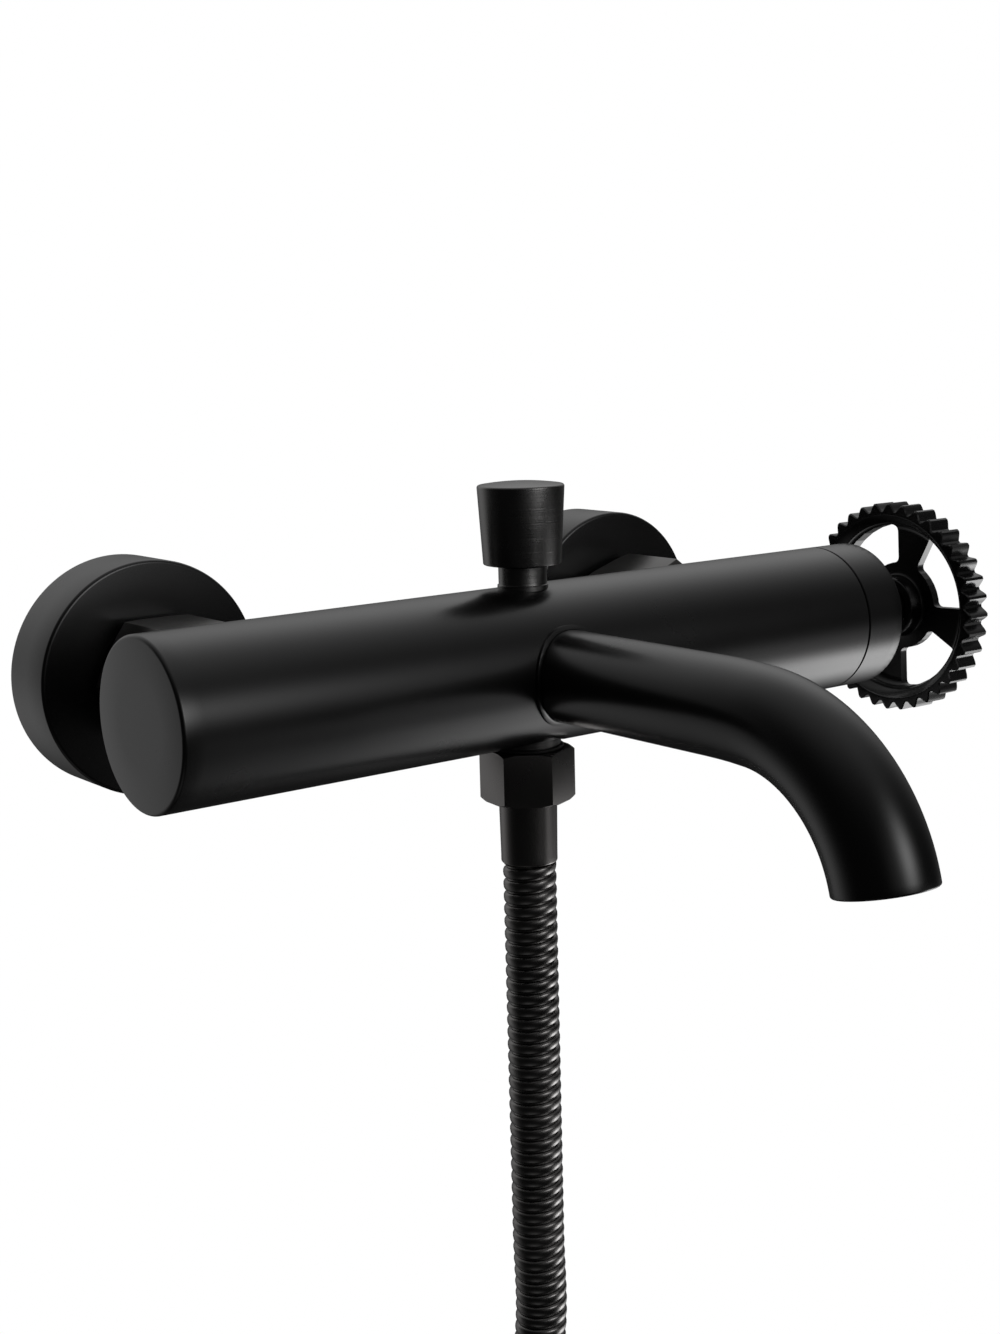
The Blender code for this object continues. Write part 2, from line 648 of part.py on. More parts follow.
def make_handle():
    """All that turns with the handwheel."""
    moving_end = MOVING_DISC + DISC_THICKNESS
    disc = turned(
        "ceramic_disc_moving", rod_profile(INNER_RADIUS - 2 * GAP, MOVING_DISC, moving_end),
        CERAMIC, AXIS, ALONG_X,
    )
    sweep = range(-POCKET_HALF, POCKET_HALF + 1, POCKET_HALF // 2)
    pocket = [wheel_point(POCKET_OUTER, math.radians(angle)) for angle in sweep]
    pocket += [wheel_point(POCKET_INNER, math.radians(-angle)) for angle in sweep]
    boolean(
        disc,
        new_object(
            "disc_pocket",
            prism_bmesh(pocket, MOVING_DISC - EDGE, MOVING_DISC + DISC_THICKNESS / 2),
            None, AXIS, ALONG_X,
        ),
    )
    carrier = turned(
        "disc_carrier",
        ring_profile(SPINDLE_RADIUS + GAP, INNER_RADIUS - 2 * GAP, CARRIER_START, CARRIER_END),
        PLASTIC, AXIS, ALONG_X,
    )
    screw_hole = SCREW_RADIUS + GAP
    screw_end = HEAD_START - SCREW_LENGTH
    spindle = turned(
        "spindle",
        [
            (0.0, CARRIER_START), (SPINDLE_RADIUS, CARRIER_START),
            (SPINDLE_RADIUS, SPINDLE_END), (screw_hole, SPINDLE_END),
            (screw_hole, screw_end - GAP), (0.0, screw_end - GAP),
        ],
        BRASS, AXIS, ALONG_X,
    )
    stem_bore = SPINDLE_RADIUS + GAP
    stem = turned(
        "handle_stem",
        [
            (stem_bore, STEM_START), (STEM_RADIUS, STEM_START), (STEM_RADIUS, STEM_END),
            (screw_hole, STEM_END), (screw_hole, SPINDLE_END + GAP),
            (stem_bore, SPINDLE_END + GAP),
        ],
        DARK_METAL, AXIS, ALONG_X,
    )
    screw = turned(
        "handle_screw",
        [
            (0.0, screw_end), (SCREW_RADIUS, screw_end), (SCREW_RADIUS, HEAD_START),
            (SCREW_HEAD_RADIUS, HEAD_START), (SCREW_HEAD_RADIUS, HEAD_END), (0.0, HEAD_END),
        ],
        STEEL, AXIS, ALONG_X, COARSE,
    )
    cap = turned(
        "index_cap",
        [
            (0.0, CAP_FLOOR), (CAP_RADIUS, CAP_FLOOR), (CAP_RADIUS, WHEEL_END),
            (CAP_RADIUS / 2, WHEEL_END + CAP_DOME), (0.0, WHEEL_END + CAP_DOME),
        ],
        DARK_METAL, AXIS, ALONG_X,
    )
    axis = group_axis("handle_axis", Vector(AXIS))
    carry(axis, disc, carrier, spindle, stem, screw, cap, make_handwheel())


# ---- spout -----------------------------------------------------------------------------

SPOUT_INNER = SPOUT_RADIUS - SPOUT_WALL
SPOUT_ROOT_Y = -BODY_OUT - BODY_RADIUS + 0.008  # inside the body's outline, then cut
BODY_FRONT = -BODY_OUT - BODY_RADIUS


def spout_path():
    """Centre points (y, z) and slopes along the spout, from inside the body's outline."""
    y, z, slope = BODY_FRONT - SPOUT_STRAIGHT, -SPOUT_DROP, 0.0
    path = [(SPOUT_ROOT_Y, z, slope), (y, z, slope)]
    for radius, degrees in SPOUT_BENDS:
        end = math.radians(degrees)
        centre_y = y + radius * math.sin(slope)
        centre_z = z - radius * math.cos(slope)
        steps = max(2, round((end - slope) / math.radians(SPOUT_STEP)))
        for step in range(1, steps + 1):
            angle = slope + (end - slope) * step / steps
            path.append(
                (centre_y - radius * math.sin(angle), centre_z + radius * math.cos(angle), angle)
            )
        y, z, slope = path[-1]
    return path


def swept_tube_bmesh(path, outer, inner, segments):
    """A hollow tube whose centre follows the path in the plane x = 0."""
    bm = bmesh.new()
    loops = []
    for radius in (outer, inner):
        rings = []
        for y, z, slope in path:
            across = Vector((0.0, -math.sin(slope), math.cos(slope)))
            rings.append([
                bm.verts.new(
                    Vector((0.0, y, z))
                    + radius * math.cos(2 * math.pi * k / segments) * Vector((1, 0, 0))
                    + radius * math.sin(2 * math.pi * k / segments) * across
                )
                for k in range(segments)
            ])
        loops.append(rings)
    strips = list(zip(loops[0], loops[0][1:])) + list(zip(loops[1], loops[1][1:]))
    strips += [(loops[0][0], loops[1][0]), (loops[0][-1], loops[1][-1])]
    for first, second in strips:
        for k in range(segments):
            after = (k + 1) % segments
            bm.faces.new((first[k], first[after], second[after], second[k]))
    return bm


def make_spout():
    body_outline = turned(
        "body_outline", rod_profile(BODY_RADIUS + GAP, -BODY_LEFT, BODY_RIGHT),
        None, AXIS, ALONG_X, FINE,
    )
    spout = new_object(
        "spout_tube", swept_tube_bmesh(spout_path(), SPOUT_RADIUS, SPOUT_INNER, MEDIUM),
        BLACK_COATING,
    )
    boolean(spout, body_outline)
    root = (0.0, 0.0, -SPOUT_DROP)
    collar = turned(
        "spout_collar",
        ring_profile(
            SPOUT_RADIUS + GAP, SPOUT_RADIUS + GAP + COLLAR_WALL,
            -SPOUT_ROOT_Y, -BODY_FRONT + 2 * COLLAR_RISE,
        ),
        BLACK_COATING, root, FROM_WALL,
    )
    collar_outline = turned(
        "collar_outline",
        rod_profile(BODY_RADIUS + GAP + COLLAR_RISE, -BODY_LEFT, BODY_RIGHT),
        None, AXIS, ALONG_X, FINE,
    )
    boolean(collar, collar_outline, "INTERSECT")
    boolean(collar, body_outline)
    grip = SPOUT_PORT_RADIUS - GAP
    front = -BODY_FRONT
    groove_low = front - SPOUT_NIPPLE_GRIP / 2 - SEAL_SECTION - GAP
    groove_high = groove_low + 2 * (SEAL_SECTION + GAP)
    groove = grip - 2 * SEAL_SECTION
    turned(
        "spout_nipple",
        [
            (NIPPLE_BORE, front - SPOUT_NIPPLE_GRIP), (grip, front - SPOUT_NIPPLE_GRIP),
            (grip, groove_low), (groove, groove_low), (groove, groove_high),
            (grip, groove_high), (grip, front + GAP), (SPOUT_INNER - GAP, front + GAP),
            (SPOUT_INNER - GAP, front + SPOUT_NIPPLE_GRIP),
            (NIPPLE_BORE, front + SPOUT_NIPPLE_GRIP),
        ],
        BRASS, root, FROM_WALL,
    )
    o_ring(
        "spout_seal", grip - SEAL_SECTION + GAP / 3,
        (0.0, BODY_FRONT + SPOUT_NIPPLE_GRIP / 2, -SPOUT_DROP), FROM_WALL,
    )
    make_aerator()


def make_aerator():
    """Local +Z points back up the spout, away from the outlet."""
    y, z, slope = spout_path()[-1]
    rotation = (slope - math.pi / 2, 0.0, 0.0)
    place = (0.0, y, z)
    low = AERATOR_RECESS
    high = low + AERATOR_LENGTH
    top = high + GAP + AERATOR_WASHER
    bend = SPOUT_BENDS[-1][0]
    housing = SPOUT_INNER - GAP - top**2 / (2 * bend)  # clear of the bend
    inside = housing - AERATOR_WALL
    lip = inside - AERATOR_LIP
    turned(
        "aerator_housing",
        [
            (lip, low), (housing, low), (housing, high), (inside, high),
            (inside, low + AERATOR_LIP), (lip, low + AERATOR_LIP),
        ],
        STEEL, place, rotation,
    )
    insert_low = low + AERATOR_LIP + GAP
    insert = turned(
        "aerator_insert", rod_profile(inside - GAP, insert_low, high), PLASTIC, place, rotation
    )
    for number in range(AERATOR_HOLES):
        angle = 2 * math.pi * number / AERATOR_HOLES
        offset = Vector((
            AERATOR_HOLE_CIRCLE * math.cos(angle),
            AERATOR_HOLE_CIRCLE * math.sin(angle) * math.cos(rotation[0]),
            AERATOR_HOLE_CIRCLE * math.sin(angle) * math.sin(rotation[0]),
        ))
        cut_round(
            insert, f"aerator_hole_{number}", AERATOR_HOLE_RADIUS, insert_low - GAP, high + GAP,
            Vector(place) + offset, rotation, 6,
        )
    turned(
        "aerator_washer", ring_profile(inside - AERATOR_WASHER, housing, high + GAP, top),
        RUBBER, place, rotation,
    )


# ---- diverter --------------------------------------------------------------------------

KNOB_Z = BODY_RADIUS + KNOB_BOTTOM
BONNET_BOTTOM = BODY_RADIUS - BONNET_GRIP
LOWER_SEAL = CHAMBER_FLOOR + GAP
PLUNGER_Z = LOWER_SEAL + PLUNGER_SEAL + GAP
UPPER_SEAL = PLUNGER_Z + PLUNGER_THICKNESS + GAP
PLUNGER_TOP = UPPER_SEAL + PLUNGER_SEAL


def make_diverter_fixed():
    seal_z = BODY_RADIUS - BONNET_GRIP / 3
    half = SEAL_SECTION + GAP
    bore = ROD_RADIUS + GAP
    groove = bore + 2 * SEAL_SECTION + GAP
    turned(
        "diverter_bonnet",
        [
            (bore, BONNET_BOTTOM), (BONNET_RADIUS, BONNET_BOTTOM),
            (BONNET_RADIUS, KNOB_Z - GAP), (bore, KNOB_Z - GAP), (bore, seal_z + half),
            (groove, seal_z + half), (groove, seal_z - half), (bore, seal_z - half),
        ],
        DARK_METAL, AXIS,
    )
    o_ring("diverter_rod_seal", bore + SEAL_SECTION, (0.0, -BODY_OUT, seal_z), UPRIGHT)
    inner = SLEEVE_RADIUS - SLEEVE_WALL
    seat_top = SEAT_HEIGHT + SEAT_THICKNESS
    sleeve = turned(
        "diverter_sleeve",
        [
            (SEAT_RADIUS, SLEEVE_BOTTOM), (SLEEVE_RADIUS, SLEEVE_BOTTOM),
            (SLEEVE_RADIUS, SLEEVE_TOP), (inner, SLEEVE_TOP), (inner, seat_top),
            (SEAT_RADIUS, seat_top), (SEAT_RADIUS, SEAT_HEIGHT), (inner, SEAT_HEIGHT),
            (inner, CHAMBER_FLOOR), (SEAT_RADIUS, CHAMBER_FLOOR),
        ],
        BRASS, AXIS,
    )
    cut_round(
        sleeve, "sleeve_inlet", SIDE_HOLE_RADIUS, 0.0, DIVERTER_BORE + GAP,
        (0.0, -BODY_OUT, INLET_HOLE_Z), ALONG_X, COARSE,
    )
    cut_round(
        sleeve, "sleeve_outlet", SIDE_HOLE_RADIUS, BODY_OUT, BODY_OUT + DIVERTER_BORE + GAP,
        (0.0, 0.0, SPOUT_HOLE_Z), FROM_WALL, COARSE,
    )


def make_spring(low, high):
    """The return spring, a helix about the rod."""
    count = SPRING_TURNS * SPRING_STEPS
    curve = bpy.data.curves.new("diverter_spring", "CURVE")
    curve.dimensions = "3D"
    curve.bevel_depth = SPRING_WIRE
    curve.bevel_resolution = 1
    curve.use_fill_caps = True
    spline = curve.splines.new("POLY")
    spline.points.add(count)
    for k in range(count + 1):
        angle = 2 * math.pi * k / SPRING_STEPS
        spline.points[k].co = (
            SPRING_RADIUS * math.cos(angle), SPRING_RADIUS * math.sin(angle),
            low + (high - low) * k / count, 1.0,
        )
    curve.materials.append(finish_of("diverter_spring", STEEL))
    spring = bpy.data.objects.new("diverter_spring", curve)
    spring.location = AXIS
    bpy.context.collection.objects.link(spring)
    return spring


def make_diverter_moving():
    rod = turned(
        "diverter_rod", rod_profile(ROD_RADIUS, PLUNGER_Z, KNOB_Z + KNOB_BORE - GAP),
        STEEL, AXIS, segments=COARSE,
    )
    bore = ROD_RADIUS + GAP
    top = KNOB_Z + KNOB_HEIGHT
    knob = turned(
        "diverter_knob",
        [
            (0.0, KNOB_Z + KNOB_BORE), (bore, KNOB_Z + KNOB_BORE), (bore, KNOB_Z),
            (KNOB_BOTTOM_RADIUS - EDGE / 2, KNOB_Z), (KNOB_BOTTOM_RADIUS, KNOB_Z + EDGE / 2),
            (KNOB_TOP_RADIUS, top - EDGE / 2), (KNOB_TOP_RADIUS - EDGE / 2, top),
            (DOME_SHOULDER, top + KNOB_DOME - GAP), (0.0, top + KNOB_DOME),
        ],
        DARK_METAL, AXIS,
    )
    plunger = turned(
        "diverter_plunger",
        ring_profile(bore, PLUNGER_RADIUS, PLUNGER_Z, PLUNGER_Z + PLUNGER_THICKNESS),
        BRASS, AXIS,
    )
    lower = turned(
        "plunger_lower_seal",
        rod_profile(PLUNGER_RADIUS + GAP, LOWER_SEAL, LOWER_SEAL + PLUNGER_SEAL),
        RUBBER, AXIS,
    )
    upper = turned(
        "plunger_upper_seal",
        ring_profile(bore, PLUNGER_RADIUS + GAP, UPPER_SEAL, PLUNGER_TOP), RUBBER, AXIS,
    )
    spring = make_spring(PLUNGER_TOP + GAP + SPRING_WIRE, BONNET_BOTTOM - GAP - SPRING_WIRE)
    axis = group_axis("diverter_axis", Vector(AXIS))
    carry(axis, rod, knob, plunger, lower, upper, spring)


# ---- shower outlet and hose --------------------------------------------------------------

OUTLET_BOTTOM = OUTLET_TOP - OUTLET_LENGTH
HOSE_NUT_TOP = -BODY_RADIUS - HOSE_NUT_DROP
HOSE_NUT_BOTTOM = HOSE_NUT_TOP - HOSE_NUT_HEIGHT
FLANGE_BOTTOM = HOSE_NUT_BOTTOM + HOSE_NUT_LIP + GAP
FLANGE_TOP = FLANGE_BOTTOM + INSERT_FLANGE
FERRULE_TOP = HOSE_NUT_BOTTOM - GAP
FERRULE_BOTTOM = FERRULE_TOP - FERRULE_LENGTH
HOSE_TOP = FERRULE_BOTTOM - GAP
HOSE_ROUTE = [(x, -BODY_OUT, HOSE_TOP - drop) for x, drop in HOSE_DROPS]
COIL_CENTRE = (COIL_SIDE, -BODY_OUT, HOSE_TOP - COIL_DROP)  # on the axis, at the first turn


def make_outlet():
    turned(
        "outlet_nipple", ring_profile(NIPPLE_BORE, OUTLET_RADIUS, OUTLET_BOTTOM, OUTLET_TOP),
        DARK_METAL, AXIS,
    )
    washer = ring_profile(NIPPLE_BORE, OUTLET_RADIUS, FLANGE_TOP + GAP, OUTLET_BOTTOM - GAP)
    turned("hose_washer", washer, RUBBER, AXIS)
    hexagon_nut(
        "hose_nut", HOSE_NUT_CORNER, HOSE_NUT_BOTTOM, HOSE_NUT_TOP,
        (
            (OUTLET_RADIUS + GAP, HOSE_NUT_BOTTOM + HOSE_NUT_LIP, HOSE_NUT_TOP + EDGE),
            (INSERT_RADIUS + GAP, HOSE_NUT_BOTTOM - EDGE, HOSE_NUT_TOP),
        ),
        HOSE_METAL, AXIS, UPRIGHT, HOSE_NUT_TURN,
    )
    turned(
        "hose_insert",
        [
            (INSERT_BORE, FERRULE_BOTTOM + GAP), (INSERT_RADIUS, FERRULE_BOTTOM + GAP),
            (INSERT_RADIUS, FLANGE_BOTTOM), (OUTLET_RADIUS, FLANGE_BOTTOM),
            (OUTLET_RADIUS, FLANGE_TOP), (INSERT_BORE, FLANGE_TOP),
        ],
        BRASS, AXIS,
    )
    turned(
        "hose_ferrule",
        ring_profile(INSERT_RADIUS + GAP, FERRULE_RADIUS, FERRULE_BOTTOM, FERRULE_TOP),
        HOSE_METAL, AXIS,
    )


def smooth_route(points, spacing):
    """Even points on a smooth curve through the route's own points."""
    points = [Vector(point) for point in points]
    padded = [2 * points[0] - points[1], *points, 2 * points[-1] - points[-2]]
    fine = []
    for before, start, end, after in zip(padded, padded[1:], padded[2:], padded[3:]):
        for step in range(40):
            t = step / 40
            fine.append(0.5 * (
                2 * start + (end - before) * t
                + (2 * before - 5 * start + 4 * end - after) * t * t
                + (3 * start - before - 3 * end + after) * t * t * t
            ))
    fine.append(points[-1])
    lengths = [(b - a).length for a, b in zip(fine, fine[1:])]
    count = max(2, round(sum(lengths) / spacing))
    step = sum(lengths) / count
    result, travelled = [fine[0]], 0.0
    for a, b, length in zip(fine, fine[1:], lengths):
        while len(result) < count and travelled + length >= step * len(result):
            result.append(a.lerp(b, (step * len(result) - travelled) / length))
        travelled += length
    return result + [fine[-1]]


def make_hose_tube():
    """The stretch that hangs from the ferrule to the coil."""
    curve = bpy.data.curves.new("hose_tube", "CURVE")
    curve.dimensions = "3D"
    curve.bevel_depth = HOSE_RADIUS
    curve.bevel_resolution = 3
    curve.use_fill_caps = True
    points = smooth_route(HOSE_ROUTE, HOSE_POINT_SPACING)
    spline = curve.splines.new("POLY")
    spline.points.add(len(points) - 1)
    for spot, point in zip(spline.points, points):
        spot.co = (*point, 1.0)
    curve.materials.append(finish_of("hose_tube", HOSE_METAL))
    bpy.context.collection.objects.link(bpy.data.objects.new("hose_tube", curve))


def make_coil():
    """The coil's outer shape, with the straight lead into it and the tail out of it."""
    x, y, z = COIL_CENTRE
    width = COIL_TURNS * COIL_PITCH
    reach = HOSE_RADIUS + GAP
    coil = turned(
        "hose_coil",
        ring_profile(COIL_RADIUS - reach, COIL_RADIUS + reach, -reach, width + reach),
        HOSE_METAL, COIL_CENTRE, TO_WALL, FINE,
    )
    joint = Vector((math.cos(COIL_START), 0.0, math.sin(COIL_START))) * COIL_RADIUS
    lead = turned(
        "coil_lead", rod_profile(HOSE_RADIUS, -COIL_RADIUS / 8, LEAD_LENGTH), None,
        Vector(COIL_CENTRE) + joint, (0.0, math.pi / 2 - COIL_START + math.pi / 2, 0.0), COARSE,
    )
    boolean(coil, lead, "UNION")
    tail = turned(
        "coil_tail", rod_profile(HOSE_RADIUS, -TAIL_LENGTH, 0.0), None,
        (x - COIL_RADIUS, y + width, z), UPRIGHT, COARSE,
    )
    boolean(coil, tail, "UNION")


def make_tie():
    """A strap around the bundle of turns, at the top of the coil."""
    x, y, z = COIL_CENTRE
    half = HOSE_RADIUS + GAP * 2
    low_z = math.sqrt((COIL_RADIUS - half) ** 2 - (TIE_WIDTH / 2) ** 2) - GAP
    high_z = COIL_RADIUS + half
    low_y, high_y = -half, COIL_TURNS * COIL_PITCH + half
    bm = bmesh.new()
    loops = []
    for grow in (TIE_THICKNESS, 0.0):
        corners = (
            (low_y - grow, low_z - grow), (high_y + grow, low_z - grow),
            (high_y + grow, high_z + grow), (low_y - grow, high_z + grow),
        )
        for side in (-TIE_WIDTH / 2, TIE_WIDTH / 2):
            loops.append([bm.verts.new((side, b, c)) for b, c in corners])
    outer_left, outer_right, inner_left, inner_right = loops
    for first, second in (
        (outer_left, outer_right), (inner_left, inner_right),
        (outer_left, inner_left), (outer_right, inner_right),
    ):
        for k in range(4):
            bm.faces.new((first[k], first[(k + 1) % 4], second[(k + 1) % 4], second[k]))
    new_object("coil_tie", bm, RUBBER, (x, y, z))


def make_far_end():
    """Ferrule, insert, washer and conical nut at the hose's other end."""
    x, y, z = COIL_CENTRE
    place = (x - COIL_RADIUS, y + COIL_TURNS * COIL_PITCH, z - TAIL_LENGTH - GAP)
    nut_top = -FERRULE_LENGTH - GAP
    nut_bottom = nut_top - FAR_NUT_LENGTH
    inside = nut_bottom + FAR_THREAD_DEPTH
    hole = INSERT_RADIUS + GAP
    turned(
        "far_ferrule", ring_profile(hole, FERRULE_RADIUS, -FERRULE_LENGTH, 0.0),
        HOSE_METAL, place,
    )
    turned(
        "far_nut",
        [
            (FAR_THREAD_RADIUS, nut_bottom), (FAR_NUT_BOTTOM_RADIUS, nut_bottom),
            (FAR_NUT_TOP_RADIUS, nut_top), (hole, nut_top), (hole, inside),
            (FAR_THREAD_RADIUS, inside),
        ],
        HOSE_METAL, place,
    )
    flange = FAR_THREAD_RADIUS - GAP
    turned(
        "far_insert",
        [
            (INSERT_BORE, inside - GAP - INSERT_FLANGE), (flange, inside - GAP - INSERT_FLANGE),
            (flange, inside - GAP), (INSERT_RADIUS, inside - GAP), (INSERT_RADIUS, -GAP),
            (INSERT_BORE, -GAP),
        ],
        BRASS, place,
    )
    washer_top = inside - 2 * GAP - INSERT_FLANGE
    turned(
        "far_washer", ring_profile(NIPPLE_BORE, flange, washer_top - WASHER, washer_top),
        RUBBER, place,
    )


# ---- inlets -----------------------------------------------------------------------------

SHOULDER_Y = BOSS_FACE + GAP
TAIL_END = SHOULDER_Y + TAIL_NECK + TAIL_FLANGE
GASKET_START = TAIL_END + GAP
UNION_START = GASKET_START + GASKET + GAP
UNION_END = UNION_START + UNION_THREAD_LENGTH


def make_inlet(side, x, turn):
    """Everything between one wall pipe and the body, along +Y."""
    place = (x, 0.0, 0.0)
    grip = PORT_RADIUS - GAP
    flange_start = SHOULDER_Y + TAIL_NECK
    flange = UNION_THREAD_RADIUS - GAP
    turned(
        side + "_tail",
        [
            (TAIL_BORE, BOSS_FACE - PORT_DEPTH), (grip, BOSS_FACE - PORT_DEPTH),
            (grip, SHOULDER_Y), (TAIL_NECK_RADIUS, SHOULDER_Y),
            (TAIL_NECK_RADIUS, flange_start), (flange, flange_start), (flange, TAIL_END),
            (TAIL_BORE, TAIL_END),
        ],
        DARK_METAL, place, TO_WALL,
    )
    nut_start = flange_start - GAP - NUT_LIP
    hexagon_nut(
        side + "_union_nut", NUT_FLATS / math.sqrt(3), nut_start, nut_start + NUT_LENGTH,
        (
            (TAIL_NECK_RADIUS + GAP, nut_start - EDGE, nut_start + NUT_LENGTH),
            (UNION_THREAD_RADIUS + GAP, flange_start - GAP, nut_start + NUT_LENGTH + EDGE),
        ),
        DARK_METAL, place, TO_WALL, turn,
    )
    turned(
        side + "_gasket", ring_profile(TAIL_BORE, flange, GASKET_START, GASKET_START + GASKET),
        RUBBER, place, TO_WALL,
    )
    union = turned(
        side + "_union", rod_profile(UNION_THREAD_RADIUS, UNION_START, UNION_END),
        DARK_METAL, place, TO_WALL,
    )
    below = (x, 0.0, -ECCENTRICITY)
    pipe = turned(
        side + "_union_pipe",
        rod_profile(PIPE_THREAD_RADIUS, UNION_END - GASKET, PIPE_THREAD_BEHIND),
        None, below, TO_WALL,
    )
    boolean(union, pipe, "UNION")
    cut_round(
        union, side + "_union_bore", TAIL_BORE, UNION_START - EDGE, UNION_END - GASKET * 2,
        place, TO_WALL, COARSE,
    )
    cut_round(
        union, side + "_pipe_bore", TAIL_BORE, UNION_END - GASKET * 4,
        PIPE_THREAD_BEHIND + EDGE, below, TO_WALL, COARSE,
    )
    hole = UNION_THREAD_RADIUS + ESCUTCHEON_SAG + GAP
    inside = ESCUTCHEON_RADIUS - ESCUTCHEON_WALL
    turned(
        side + "_escutcheon",
        [
            (hole, -ESCUTCHEON_DEPTH), (ESCUTCHEON_RADIUS - EDGE, -ESCUTCHEON_DEPTH),
            (ESCUTCHEON_RADIUS, EDGE - ESCUTCHEON_DEPTH), (ESCUTCHEON_RADIUS, 0.0),
            (inside, 0.0), (inside, ESCUTCHEON_WALL - ESCUTCHEON_DEPTH),
            (hole, ESCUTCHEON_WALL - ESCUTCHEON_DEPTH),
        ],
        BLACK_COATING, (x, 0.0, -ESCUTCHEON_SAG), TO_WALL, FINE,
    )


def main():
    clear_scene()
    make_body()
    make_cartridge()
    make_handle()
    make_spout()
    make_diverter_fixed()
    make_diverter_moving()
    make_outlet()
    make_hose_tube()
    make_coil()
    make_tie()
    make_far_end()
    make_inlet("left", -INLET_X, math.radians(30))
    make_inlet("right", INLET_X, math.radians(12))


main()
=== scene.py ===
"""The looks of a wall mounted bath faucet with a gear shaped handwheel, a diverter and a hose.

Metres, in the frame's axes: +X runs along the body to the handwheel, -Y points out of the wall
and +Z is up.
"""

import json
import math

import bpy
from mathutils import Matrix, Vector


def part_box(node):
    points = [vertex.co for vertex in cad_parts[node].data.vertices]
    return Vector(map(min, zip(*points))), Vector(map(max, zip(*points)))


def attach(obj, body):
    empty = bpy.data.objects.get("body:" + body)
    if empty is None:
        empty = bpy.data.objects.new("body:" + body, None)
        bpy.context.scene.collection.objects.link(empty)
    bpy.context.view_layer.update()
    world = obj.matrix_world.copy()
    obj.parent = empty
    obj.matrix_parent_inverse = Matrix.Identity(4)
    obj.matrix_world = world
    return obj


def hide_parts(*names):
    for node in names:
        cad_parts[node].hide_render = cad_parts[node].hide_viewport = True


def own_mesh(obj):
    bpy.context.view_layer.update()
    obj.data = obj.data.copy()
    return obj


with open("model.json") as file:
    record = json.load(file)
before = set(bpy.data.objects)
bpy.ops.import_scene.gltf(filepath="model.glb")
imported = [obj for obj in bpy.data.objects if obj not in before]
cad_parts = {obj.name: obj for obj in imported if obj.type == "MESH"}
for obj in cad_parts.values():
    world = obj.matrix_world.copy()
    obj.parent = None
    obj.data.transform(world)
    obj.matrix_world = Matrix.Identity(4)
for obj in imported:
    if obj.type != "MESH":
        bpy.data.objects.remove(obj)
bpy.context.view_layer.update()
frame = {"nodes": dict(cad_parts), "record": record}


# ---- Camera -------------------------------------------------------------------------------
# A 52 mm lens half a metre from the faucet, a little above its axis and off to its left.

CAMERA_SPOT = Vector((-0.28854, -0.44271, 0.08242))
CAMERA_HEADING = math.radians(-37.14)
CAMERA_LOOKS_DOWN = math.radians(10.0)
CAMERA_ROLL = math.radians(-1.524)
CAMERA_LENS = 51.61
CAMERA_SENSOR = 36.0
CAMERA_NEAR = 0.01

heading = Vector((math.cos(CAMERA_HEADING), math.sin(CAMERA_HEADING), 0.0))
camera_back = Vector((
    math.sin(CAMERA_HEADING) * math.cos(CAMERA_LOOKS_DOWN),
    -math.cos(CAMERA_HEADING) * math.cos(CAMERA_LOOKS_DOWN),
    math.sin(CAMERA_LOOKS_DOWN),
))
camera_right = Matrix.Rotation(CAMERA_ROLL, 3, camera_back) @ heading
camera_up = camera_back.cross(camera_right)
bpy.ops.object.camera_add()
camera = bpy.context.object
camera.data.sensor_width = CAMERA_SENSOR
camera.data.lens = CAMERA_LENS
camera.data.clip_start = CAMERA_NEAR
camera.matrix_world = Matrix.Translation(CAMERA_SPOT) @ Matrix(
    (camera_right, camera_up, camera_back)
).transposed().to_4x4()
bpy.context.scene.camera = camera
bpy.context.scene.view_settings.view_transform = "Standard"


# ---- Studio -------------------------------------------------------------------------------
# A white sweep and a pale floor, which the lens sees as plain white. The faucet itself is lit
# by round soft boxes in a dim room: each has a heading from -Y towards +X, a height, a half
# width in degrees and a strength.

FLOOR_DEPTH = -0.60
FLOOR_SIZE = 12.0
WHITE = (1.0, 1.0, 1.0, 1.0)
ROOM_GLOW = 0.015
SOFT_BOXES = {
    "tall window in front": (12, 18, 10, 4.2),
    "its left edge": (-20, 14, 10, 0.2),
    "its foot": (47, -20, 7, 0.8),
    "low strip at the right": (68, -34, 6, 6.5),
    "end of the strip": (84, -40, 8, 4.0),
    "its glow on the floor": (98, -36, 10, 1.2),
    "ceiling": (40, 68, 20, 0.35),
    "ceiling at the left": (-90, 70, 20, 0.20),
    "wall behind, right": (125, 40, 20, 1.0),
    "wall behind, high": (175, 48, 22, 0.45),
    "wall behind, left": (-170, 15, 16, 0.60),
    "floor behind": (-158, -20, 16, 0.50),
    "floor in front": (-60, -62, 12, 0.25),
}

world = bpy.data.worlds.new("studio")
bpy.context.scene.world = world
world.use_nodes = True
world.node_tree.nodes.clear()


def add_node(tree, kind, **values):
    """A node with some of its sockets or settings set by name."""
    node = tree.nodes.new(kind)
    for name, value in values.items():
        if name in node.inputs:
            node.inputs[name].default_value = value
        else:
            setattr(node, name, value)
    return node


def add_math(tree, operation, first, second=None):
    """A math node fed by other nodes' outputs or by plain numbers."""
    node = add_node(tree, "ShaderNodeMath", operation=operation)
    for socket, value in zip(node.inputs, (first, second)):
        if isinstance(value, (int, float)):
            socket.default_value = value
        elif value is not None:
            tree.links.new(value, socket)
    return node.outputs[0]


